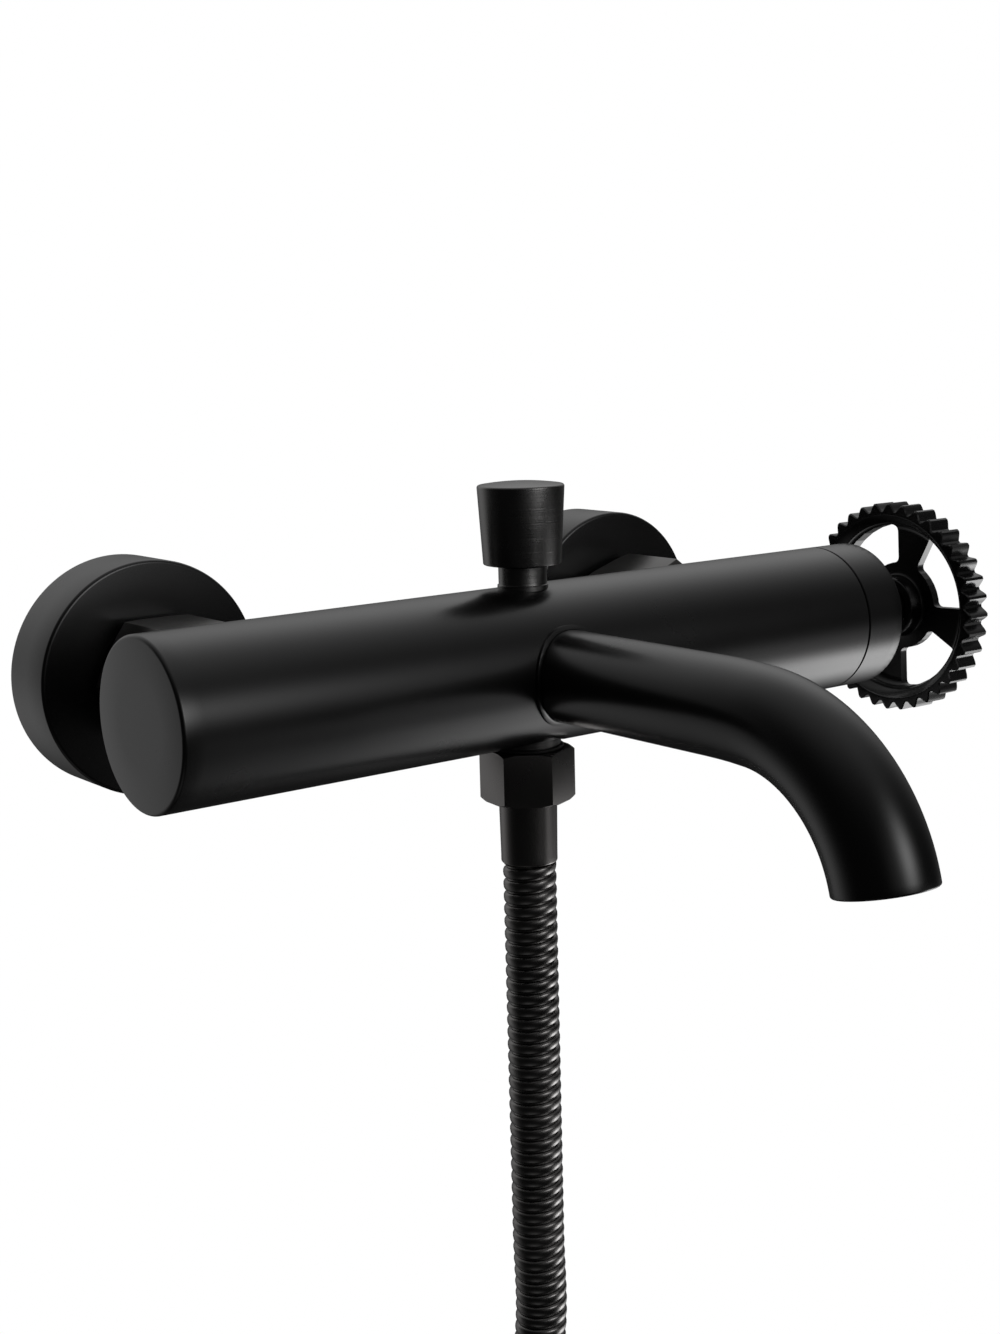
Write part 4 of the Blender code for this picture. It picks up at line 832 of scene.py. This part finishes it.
stem_start, stem_end = (corner.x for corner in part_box("handle_stem"))
STEM_RADIUS = radius_of("handle_stem", 2)
STEM_BORE = 0.0043
STEM_EDGE = 0.0003
SCREW_HOLE = 0.0022
SCREW_HOLE_DEPTH = 0.0042
stem_outline = [
    (STEM_BORE, stem_start),
    (STEM_RADIUS - STEM_EDGE, stem_start),
    (STEM_RADIUS, stem_start + STEM_EDGE),
    (STEM_RADIUS, stem_end - STEM_EDGE),
    (STEM_RADIUS - STEM_EDGE, stem_end),
    (SCREW_HOLE, stem_end),
    (SCREW_HOLE, stem_end - SCREW_HOLE_DEPTH),
    (STEM_BORE, stem_end - SCREW_HOLE_DEPTH),
]


def make_turning_marks():
    """Very fine rings left by turning, along one axis of the piece, with slight unevenness."""
    group, given, out = value_group(
        "turning_marks", (("Along x", 0.0), ("Along z", 1.0), ("Rings per metre", 2500.0)),
        ("Height",),
    )
    where = add_node(group, "ShaderNodeTexCoord")
    split = add_node(group, "ShaderNodeSeparateXYZ")
    group.links.new(where.outputs["Object"], split.inputs["Vector"])
    along_x = add_math(group, "MULTIPLY", split.outputs["X"], given.outputs["Along x"])
    along_z = add_math(group, "MULTIPLY", split.outputs["Z"], given.outputs["Along z"])
    noise = add_node(group, "ShaderNodeTexNoise", noise_dimensions="1D", Detail=4.0, Roughness=0.7)
    group.links.new(add_math(group, "ADD", along_x, along_z), noise.inputs["W"])
    group.links.new(given.outputs["Rings per metre"], noise.inputs["Scale"])
    group.links.new(noise.outputs["Fac"], out.inputs["Height"])
    return group


turning_marks = make_turning_marks()


def turned_metal(name, colour, roughness, along_x, along_z, relief):
    """Plated metal with turning marks round it."""
    material = finish_material(name, colour, 1.0, roughness, 0.04, 2500.0, 0.00001)
    tree = material.node_tree
    shader = tree.nodes["Principled BSDF"]
    own = {"Along x": along_x, "Along z": along_z}
    marks = add_node(tree, "ShaderNodeGroup", node_tree=turning_marks, **own)
    bump = add_node(tree, "ShaderNodeBump", Distance=relief)
    tree.links.new(marks.outputs["Height"], bump.inputs["Height"])
    tree.links.new(bump.outputs["Normal"], shader.inputs["Normal"])
    return material


stem_metal = turned_metal("stem_gun_metal", (0.130, 0.128, 0.126), 0.26, 1.0, 0.0, 0.00001)
stem = lathe("stem", stem_outline, AXIS, ALONG_X)
dress(stem, "handle", "dark_metal", stem_metal, "handle_stem")


# ---- Handwheel ----------------------------------------------------------------------------
# A cast wheel like a gear, coated as the body: a toothed rim, dished inside down to a thin web
# at its far side, with four windows between the spokes and a hub round the stem.

wheel_near, wheel_far = (corner.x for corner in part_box("handwheel"))
WHEEL_TIP = 0.0302
WHEEL_EDGE = 0.0004
WHEEL_ANGLE = 32.0
TOOTH_DEPTH = 0.0021
TOOTH_ROOT = 0.14  # share of a tooth's ramp that stays flat at the root
TOOTH_FLANK = 0.72  # share of it that rises
TOOTH_STRAIGHT = 0.6  # how straight the flank is; the rest is a smooth wave
TEETH = 36
STEPS_PER_TOOTH = 14
RIM_BORE = 0.0266
RIM_THROAT = 0.0240
WEB = 0.0025
WEB_FILLET = 0.0030
HUB_BOSS = 0.0085
HUB_FRONT = 0.0007  # from the rim's near face back to the boss
HUB_EDGE = 0.0006
HUB_FILLET = 0.0012
CAP_SEAT = 0.0063
CAP_SEAT_DEPTH = 0.0022
WINDOW_INNER = 0.0126
WINDOW_CORNER = 0.0015
WINDOW_AHEAD = 0.004  # from the cutter's start to the web
WINDOW_CUT = 0.006  # by which the cutter is longer than the web is thick
WINDOW_HALF = math.radians(29.5)
SPOKE_ANGLE = math.radians(77.0)
SPOKES = 4
SOCKET_RADIUS = 0.0063


def tooth_height(angle):
    """Height over the roots, from 0 to 1, of rounded triangular teeth."""
    share = (angle / (2 * math.pi) * TEETH + 0.5) % 1.0 - 0.5
    ramp = 1.0 - 2.0 * abs(share)
    ramp = min(max((ramp - TOOTH_ROOT) / TOOTH_FLANK, 0.0), 1.0)
    wave = 0.5 - 0.5 * math.cos(math.pi * ramp)
    return TOOTH_STRAIGHT * ramp + (1.0 - TOOTH_STRAIGHT) * wave


def make_window(middle):
    """The cutter for one window: a sector through the web, with its edges rounded."""
    first = middle - WINDOW_HALF
    out = Vector((0.0, -math.cos(first), math.sin(first)))
    start = out * WINDOW_INNER
    window = start_point("window", (wheel_far - WEB - WINDOW_AHEAD, start.y, start.z))
    reach = out * (RIM_THROAT - 0.0002 - WINDOW_INNER)
    draw_out(*reach)
    bpy.ops.mesh.select_all(action="SELECT")
    bpy.ops.mesh.spin(
        steps=6, angle=2 * WINDOW_HALF, center=(0.0, 0.0, 0.0), axis=(1.0, 0.0, 0.0)
    )
    bpy.ops.mesh.select_all(action="SELECT")
    bpy.ops.mesh.dissolve_limited(angle_limit=math.radians(0.5))
    bpy.ops.mesh.select_all(action="SELECT")
    draw_out(WEB + WINDOW_CUT, 0.0, 0.0)
    bpy.ops.mesh.select_all(action="SELECT")
    bpy.ops.mesh.normals_make_consistent(inside=False)
    bpy.ops.object.mode_set(mode="OBJECT")
    window.location = AXIS
    return finish_edges(settle(window), WINDOW_CORNER, 5, 40.0)


def make_handwheel():
    """The wheel: turned, then its rim pushed out into teeth and its web pierced."""
    web_near = wheel_far - WEB
    hub_near = wheel_near + HUB_FRONT
    edge = WHEEL_EDGE
    root = WHEEL_TIP - TOOTH_DEPTH
    seat = wheel_far - CAP_SEAT_DEPTH
    outline = [
        (0.0, seat), (CAP_SEAT, seat), (CAP_SEAT, wheel_far - 0.0003),
        (CAP_SEAT + edge, wheel_far), (RIM_THROAT, wheel_far),
        (root - edge, wheel_far), (root, wheel_far - edge),
        (root, wheel_near + edge), (root - edge, wheel_near),
        (RIM_BORE + edge, wheel_near),
        *arc((RIM_BORE + edge, wheel_near + edge), edge, -90, -180, 3),
        (RIM_THROAT + 0.0006, web_near - WEB_FILLET),
        *arc(
            (RIM_THROAT + 0.0004 - WEB_FILLET, web_near - WEB_FILLET), WEB_FILLET, 0, 90, 8
        ),
        (WINDOW_INNER, web_near),
        *arc((HUB_BOSS + HUB_FILLET, web_near - HUB_FILLET), HUB_FILLET, 90, 180, 5),
        (HUB_BOSS, hub_near + HUB_EDGE),
        *arc((HUB_BOSS - HUB_EDGE, hub_near + HUB_EDGE), HUB_EDGE, 0, -90, 4),
        (SOCKET_RADIUS, hub_near),
        (SOCKET_RADIUS, stem_end + 0.0002), (0.0, stem_end + 0.0002),
    ]
    wheel = lathe("wheel", outline[::-1], AXIS, ALONG_X, TEETH * STEPS_PER_TOOTH)
    for point in wheel.data.vertices:
        out, up = -(point.co.y - AXIS.y), point.co.z - AXIS.z
        radius = math.hypot(out, up)
        if radius > root - 2 * edge:
            grown = 1.0 + TOOTH_DEPTH * tooth_height(math.atan2(up, out)) / radius
            point.co.y = AXIS.y - out * grown
            point.co.z = AXIS.z + up * grown
    for spoke in range(SPOKES):
        middle = SPOKE_ANGLE + math.pi / SPOKES + 2 * math.pi * spoke / SPOKES
        carve(wheel, make_window(middle))
    return smooth(wheel, WHEEL_ANGLE)


wheel = make_handwheel()
dress(wheel, "handle", "black_coating", coating_finish, "handwheel")


# ---- Index cap and screw ------------------------------------------------------------------
# A small domed cap pressed into the hub's far side hides the screw that holds the wheel.

cap_low, cap_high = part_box("index_cap")
CAP_RADIUS = radius_of("index_cap", 2)
CAP_EDGE = 0.0003
CAP_RISE = 0.00028
cap_outline = [
    (0.0, cap_low.x), (CAP_RADIUS, cap_low.x), (CAP_RADIUS, wheel_far - CAP_EDGE),
    *arc((CAP_RADIUS - CAP_EDGE, wheel_far - CAP_EDGE), CAP_EDGE, 0, 70, 4),
    (CAP_RADIUS * 0.7, wheel_far + CAP_RISE), (CAP_RADIUS * 0.35, cap_high.x - 0.00005),
    (0.0, cap_high.x),
]
cap = lathe("hub_cap", cap_outline, AXIS, ALONG_X, BORE_STEPS)
dress(cap, "handle", "dark_metal", stem_metal, "index_cap")


# ---- Spout --------------------------------------------------------------------------------
# A bent brass tube, coated as the body, on a threaded nipple. It runs straight out, sags a
# little and then turns down; its mouth is square to it. A thin collar closes the joint.

SPOUT_RADIUS = radius_of("spout_tube")
SPOUT_WALL = 0.0016
SPOUT_ROOT = 0.008  # how far inside the body's front it starts
SPOUT_STRAIGHT = 0.0496
SPOUT_STRAIGHT_STEPS = 12
SPOUT_BENDS = ((0.1500, 5.0), (0.0397, 77.7))
BEND_STEP = 2.5
SPOUT_SIDES = 96
SPOUT_GAP = 0.00005
MOUTH_EDGE = 0.0005
SHARP = 50.0
COLLAR_RADIUS = 0.0125
COLLAR_RISE = 0.0008
COLLAR_BITE = 0.0001
COLLAR_EDGE = 0.0003
COLLAR_REACH = 0.006


def turn_down(point, slope, radius, degrees):
    """Where a bend about a centre below the tube ends."""
    centre_y = point[0] + radius * math.sin(slope)
    centre_z = point[1] - radius * math.cos(slope)
    end = math.radians(degrees)
    after = (centre_y - radius * math.sin(end), centre_z + radius * math.cos(end))
    return (centre_y, centre_z), after


def body_barrel(extra):
    """The body's outside, grown a little."""
    return barrel("body_barrel", BODY_RADIUS + extra, body_low.x, body_high.x, BODY_STEPS)


def make_spout():
    """The bent tube, with where its mouth is and how steeply it looks down."""
    front = AXIS.y - BODY_RADIUS
    spout = settle(new_piece(
        "spout", bpy.ops.mesh.primitive_circle_add, vertices=SPOUT_SIDES, radius=SPOUT_RADIUS,
        location=(0.0, front + SPOUT_ROOT, SPOUT_Z), rotation=FROM_WALL,
    ))
    bpy.ops.object.mode_set(mode="EDIT")
    bpy.ops.mesh.select_all(action="SELECT")
    stride = (SPOUT_STRAIGHT + SPOUT_ROOT) / SPOUT_STRAIGHT_STEPS
    for _ in range(SPOUT_STRAIGHT_STEPS):
        draw_out(0.0, -stride, 0.0)
    point, slope = (front - SPOUT_STRAIGHT, SPOUT_Z), 0.0
    for radius, degrees in SPOUT_BENDS:
        centre, after = turn_down(point, slope, radius, degrees)
        bend = math.radians(degrees) - slope
        bpy.ops.mesh.spin(
            steps=max(3, round(math.degrees(bend) / BEND_STEP)), angle=bend,
            center=(0.0, centre[0], centre[1]), axis=(-1.0, 0.0, 0.0),
        )
        point, slope = after, math.radians(degrees)
    weld_up()
    modify(spout, "SOLIDIFY", thickness=SPOUT_WALL, offset=-1.0)
    finish_edges(spout, MOUTH_EDGE, 4, SHARP)
    carve(spout, body_barrel(SPOUT_GAP))
    return smooth(spout), point, slope


spout, mouth, mouth_slope = make_spout()
dress(spout, "base", "black_coating", coating_finish, "spout_tube")

collar_bore = SPOUT_RADIUS + 0.0001
collar_tip = BODY_RADIUS + COLLAR_REACH
collar_tube = [
    (collar_bore, 0.0), (COLLAR_RADIUS, 0.0), (COLLAR_RADIUS, collar_tip),
    (collar_bore, collar_tip),
]
collar = lathe("spout_collar_lip", collar_tube, (0.0, AXIS.y, SPOUT_Z), FROM_WALL, SPOUT_SIDES)
carve(collar, body_barrel(COLLAR_RISE), "INTERSECT")
carve(collar, body_barrel(-COLLAR_BITE))
finish_edges(collar, COLLAR_EDGE, angle=SHARP)
dress(collar, "base", "black_coating", coating_finish, "spout_collar")


# ---- Diverter -----------------------------------------------------------------------------
# A conical pull knob on a sprung rod, which slides in a round bonnet. Both are turned brass,
# plated gun metal, and fine turning marks run round them.

knob_low, knob_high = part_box("diverter_knob")
KNOB_TOP = 0.0108
KNOB_FOOT = 0.0097
KNOB_DOME = 0.0008
KNOB_EDGE = 0.0006
KNOB_FOOT_EDGE = 0.0004
ROD_HOLE = 0.0023
ROD_HOLE_DEPTH = 0.012
BONNET_RADIUS = 0.0060
BONNET_FOOT = 0.0063
BONNET_EDGE = 0.0003
BONNET_SINK = 0.0008
knob_top = knob_high.z - KNOB_DOME
dome_radius = ((KNOB_TOP - KNOB_EDGE) ** 2 + KNOB_DOME**2) / (2 * KNOB_DOME)
dome_half = math.degrees(math.asin((KNOB_TOP - KNOB_EDGE) / dome_radius))
knob_outline = [
    (0.0, knob_low.z + ROD_HOLE_DEPTH), (ROD_HOLE, knob_low.z + ROD_HOLE_DEPTH),
    (ROD_HOLE, knob_low.z),
    *arc((KNOB_FOOT - KNOB_FOOT_EDGE, knob_low.z + KNOB_FOOT_EDGE), KNOB_FOOT_EDGE, -90, 0, 4),
    *arc((KNOB_TOP - KNOB_EDGE, knob_top - KNOB_EDGE), KNOB_EDGE, 0, 80, 6),
    *arc((0.0, knob_high.z - dome_radius), dome_radius, 90 - dome_half, 90, 10)[1:],
]
knob_metal = turned_metal("knob_gun_metal", (0.150, 0.148, 0.146), 0.27, 0.0, 1.0, 0.00004)
knob = lathe("pull_knob", knob_outline, AXIS, steps=128)
dress(knob, "diverter", "dark_metal", knob_metal, "diverter_knob")

bonnet_low, bonnet_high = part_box("diverter_bonnet")
bonnet_outline = [
    (ROD_HOLE, bonnet_low.z), (BONNET_RADIUS, bonnet_low.z),
    (BONNET_RADIUS, BODY_RADIUS - BONNET_SINK), (BONNET_FOOT, BODY_RADIUS - BONNET_SINK),
    (BONNET_FOOT, BODY_RADIUS + BONNET_EDGE),
    *arc((BONNET_FOOT, BODY_RADIUS + 2 * BONNET_EDGE), BONNET_EDGE, -90, -180, 5),
    (BONNET_RADIUS, bonnet_high.z - BONNET_EDGE), (BONNET_RADIUS - BONNET_EDGE, bonnet_high.z),
    (ROD_HOLE, bonnet_high.z),
]
bonnet = lathe("bonnet", bonnet_outline, AXIS)
dress(bonnet, "base", "dark_metal", knob_metal, "diverter_bonnet")


# ---- Shower outlet ------------------------------------------------------------------------
# A short plated nipple under the body. The top is plain; the thread under it enters the nut.

OUTLET_PLAIN = 0.00865
OUTLET_BORE = 0.0055
OUTLET_EDGE = 0.0003
THREAD_DEPTH = 0.0008
DUST_RING = 0.00042  # half the thickness of the thin rubber ring over the nut
outlet_low, outlet_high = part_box("outlet_nipple")
outlet_outline = [
    (OUTLET_BORE, outlet_low.z), (outlet_radius - THREAD_DEPTH, outlet_low.z),
    (outlet_radius - THREAD_DEPTH, nut_high.z - 0.004), (OUTLET_PLAIN, nut_high.z - 0.0035),
    (OUTLET_PLAIN, outlet_high.z - OUTLET_EDGE), (OUTLET_PLAIN - OUTLET_EDGE, outlet_high.z),
    (OUTLET_BORE, outlet_high.z),
]
outlet = lathe("shower_outlet", outlet_outline, AXIS)
dress(outlet, "base", "dark_metal", knob_metal, "outlet_nipple")
gap_middle = (nut_high.z - BODY_RADIUS) / 2
dust_ring = new_piece(
    "dust_ring", bpy.ops.mesh.primitive_torus_add, location=(AXIS.x, AXIS.y, gap_middle),
    major_radius=OUTLET_PLAIN + DUST_RING * 0.8, minor_radius=DUST_RING,
    major_segments=LATHE_STEPS, minor_segments=12,
)
dress(smooth(settle(dust_ring), 60.0), "base", "rubber", rubber_finish)


# ---- Inlets -------------------------------------------------------------------------------
# Each side has a flanged tail in the body's boss, a loose union nut, a gasket and an eccentric
# union in the wall, all plated. A coated flange covers the hole in the wall.

FLANGE_EDGE = 0.0009
FLANGE_WALL = 0.0014
FLANGE_HOLE = 0.0140
NUT_FLATS = 0.030
TAIL_BORE = 0.0070
TAIL_NECK = 0.0105
UNION_RADIUS = 0.0132
PIPE_RADIUS = 0.0104
PIPE_DROP = 0.006
PIPE_LENGTH = 0.018
PIPE_ROOT = 0.0025
UNION_OVERLAP = 0.0005
THREAD_PITCH = 0.0018
THREAD_SHAPE = ((0.0, 0.0008), (0.25, 0.0004), (0.45, 0.0), (0.55, 0.0), (0.75, 0.0004))
THREAD_SIDES = 48
UNION_NUT_FLOOR = 0.0065
TAIL_FLANGE = 0.0025
INLET_EDGE = 0.0003


def wall_flange(side, x):
    """A thin dish with a rounded rim, open towards the wall."""
    low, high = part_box(side + "_escutcheon")
    radius = radius_of(side + "_escutcheon")
    front, back = low.y, high.y
    z = (low.z + high.z) / 2
    outline = [
        (FLANGE_HOLE, front), (radius * 0.6, front),
        *arc((radius - FLANGE_EDGE, front + FLANGE_EDGE), FLANGE_EDGE, -90, 0),
        (radius, (front + back) / 2), (radius, back - 0.0002), (radius - 0.0002, back),
        (radius - FLANGE_WALL, back), (radius - FLANGE_WALL, front + FLANGE_WALL),
        (FLANGE_HOLE, front + FLANGE_WALL),
    ]
    return lathe(side + "_flange", outline, (x, 0.0, z), TO_WALL, 160)


def threaded_bar(name, radius, start, end, spot, bore):
    """A threaded sleeve along +Y."""
    line = Path([(spot[0], start + (end - start) * k / 12, spot[1]) for k in range(13)])
    bar = wound_tube(name, line, radius, THREAD_PITCH, THREAD_SHAPE, THREAD_SIDES)
    low, high = start - 10 * CLEAR, end + 10 * CLEAR
    centre = (spot[0], 0.0, spot[1])
    return carve(bar, barrel(name + "_bore", bore, low, high, THREAD_SIDES, centre, TO_WALL))


def make_union(side, x):
    """The thick end that takes the nut, and the thinner pipe thread set below its axis."""
    low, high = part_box(side + "_union")
    middle = high.y - PIPE_LENGTH
    union = threaded_bar(
        side + "_union_body", UNION_RADIUS, low.y, middle + UNION_OVERLAP, (x, 0.0), TAIL_BORE
    )
    pipe = threaded_bar(
        side + "_union_thread", PIPE_RADIUS, middle - PIPE_ROOT, high.y, (x, -PIPE_DROP), TAIL_BORE
    )
    return union, pipe


plated_finish = finish_material(
    "dark_plating", (0.110, 0.108, 0.106), 1.0, 0.32, 0.05, 2200.0, 0.00001
)
for side, x, spin in (("left", -INLET_X, 30.0), ("right", INLET_X, 12.0)):
    flange = wall_flange(side, x)
    dress(flange, "base", "black_coating", coating_finish, side + "_escutcheon")
    start, end = (corner.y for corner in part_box(side + "_union_nut"))
    union_nut = hexagon_nut(
        side + "_nut", start, end, NUT_FLATS / math.sqrt(3),
        (
            (TAIL_NECK + LOOSE, start - CLEAR, end),
            (UNION_RADIUS + LOOSE, start + UNION_NUT_FLOOR, end + CLEAR),
        ),
        (x, 0.0, 0.0), TO_WALL, math.radians(spin),
    )
    dress(union_nut, "base", "dark_metal", plated_finish, side + "_union_nut")
    union, pipe = make_union(side, x)
    dress(union, "base", "dark_metal", plated_finish, side + "_union")
    dress(pipe, "base", "dark_metal", plated_finish)
    start, end = (corner.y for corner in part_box(side + "_tail"))
    shoulder = body_high.y + LOOSE
    tail_outline = [
        (TAIL_BORE, start), (PORT_RADIUS - LOOSE, start),
        (PORT_RADIUS - LOOSE, shoulder), (TAIL_NECK - INLET_EDGE, shoulder),
        (TAIL_NECK, shoulder + INLET_EDGE), (TAIL_NECK, end - TAIL_FLANGE),
        (UNION_RADIUS - LOOSE, end - TAIL_FLANGE), (UNION_RADIUS - LOOSE, end),
        (TAIL_BORE, end),
    ]
    tail = lathe(side + "_flanged_tail", tail_outline, (x, 0.0, 0.0), TO_WALL)
    dress(tail, "base", "dark_metal", plated_finish, side + "_tail")


# ---- Aerator ------------------------------------------------------------------------------
# A steel ring in the spout's mouth holds a moulded plastic honeycomb, which softens the
# stream. The ring screws in, so both come out together to be cleaned.

CELL = 0.00085
CELL_WALL = 0.00010
CELL_ROWS = 4
SCREEN_THICKNESS = 0.0016
SCREEN_GAP = 0.0016
SCREEN_DEPTH = 0.0028
RING_DEPTH = 0.0009


def honeycomb(reach, thickness):
    """Hexagon cells in a round plate, lying flat and pierced."""
    bpy.ops.object.select_all(action="DESELECT")
    width = CELL * math.sqrt(3)
    cells = []
    for row in range(-CELL_ROWS, CELL_ROWS + 1):
        for column in range(-CELL_ROWS, CELL_ROWS + 1):
            x = (column + row / 2) * width
            y = row * CELL * 1.5
            if math.hypot(x, y) < reach - CELL:
                bpy.ops.mesh.primitive_cylinder_add(
                    vertices=6, radius=CELL - CELL_WALL, depth=thickness * 2, location=(x, y, 0.0)
                )
                cells.append(bpy.context.object)
    for cell in cells:
        cell.select_set(True)
    bpy.context.view_layer.objects.active = cells[0]
    bpy.ops.object.join()
    holes = settle(bpy.context.object)
    return carve(lathe("honeycomb", plug(reach, -thickness / 2, thickness / 2)), holes)


def put_in_mouth(piece, depth):
    """Moves a piece from its own upright axis into the spout's mouth."""
    piece.rotation_euler = (mouth_slope - math.pi / 2, 0.0, 0.0)
    into = Vector((0.0, math.cos(mouth_slope), math.sin(mouth_slope)))
    piece.location = Vector((0.0, mouth[0], mouth[1])) + into * depth
    return settle(piece)


mouth_bore = SPOUT_RADIUS - SPOUT_WALL
aerator_ring_outline = [
    (mouth_bore - 0.0023, 0.0), (mouth_bore - 0.0006, 0.0), (mouth_bore - 0.0003, 0.0003),
    (mouth_bore - 0.0005, 0.0045), (mouth_bore - 0.0015, 0.0045), (mouth_bore - 0.0015, 0.0008),
    (mouth_bore - 0.0023, 0.0006),
]
aerator_ring = put_in_mouth(lathe("aerator_ring", aerator_ring_outline), RING_DEPTH)
steel_finish = finish_material("steel", (0.50, 0.50, 0.51), 1.0, 0.28, 0.05, 2000.0, 0.00001)
dress(aerator_ring, "base", "steel", steel_finish, "aerator_housing")
screen = put_in_mouth(honeycomb(mouth_bore - SCREEN_GAP, SCREEN_THICKNESS), SCREEN_DEPTH)
plastic_finish = finish_material("plastic", (0.42, 0.42, 0.41), 0.0, 0.45, 0.06, 1800.0, 0.00002)
dress(screen, "base", "plastic", plastic_finish, "aerator_insert")


# ---- Inner pieces -------------------------------------------------------------------------
# What the body, ring and nuts hide keeps its frame shape: brass, steel, seals and ceramics.

brass_finish = finish_material("brass", (0.62, 0.45, 0.19), 1.0, 0.34, 0.06, 1600.0, 0.00002)
ceramic_finish = finish_material("ceramic", (0.82, 0.81, 0.77), 0.0, 0.16, 0.03, 900.0, 0.000004)
inner_finishes = {
    "brass": brass_finish, "steel": steel_finish, "rubber": rubber_finish,
    "plastic": plastic_finish, "ceramic": ceramic_finish,
}
slot_of = {row["node"]: row["material_slot"] for row in frame["record"]["subparts"]}
for name, node in frame["nodes"].items():
    if node.hide_render:
        continue
    finish = inner_finishes.get(slot_of[name], plated_finish)
    node.data.materials.clear()
    node.data.materials.append(finish)


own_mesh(frame["nodes"]["diverter_spring"])
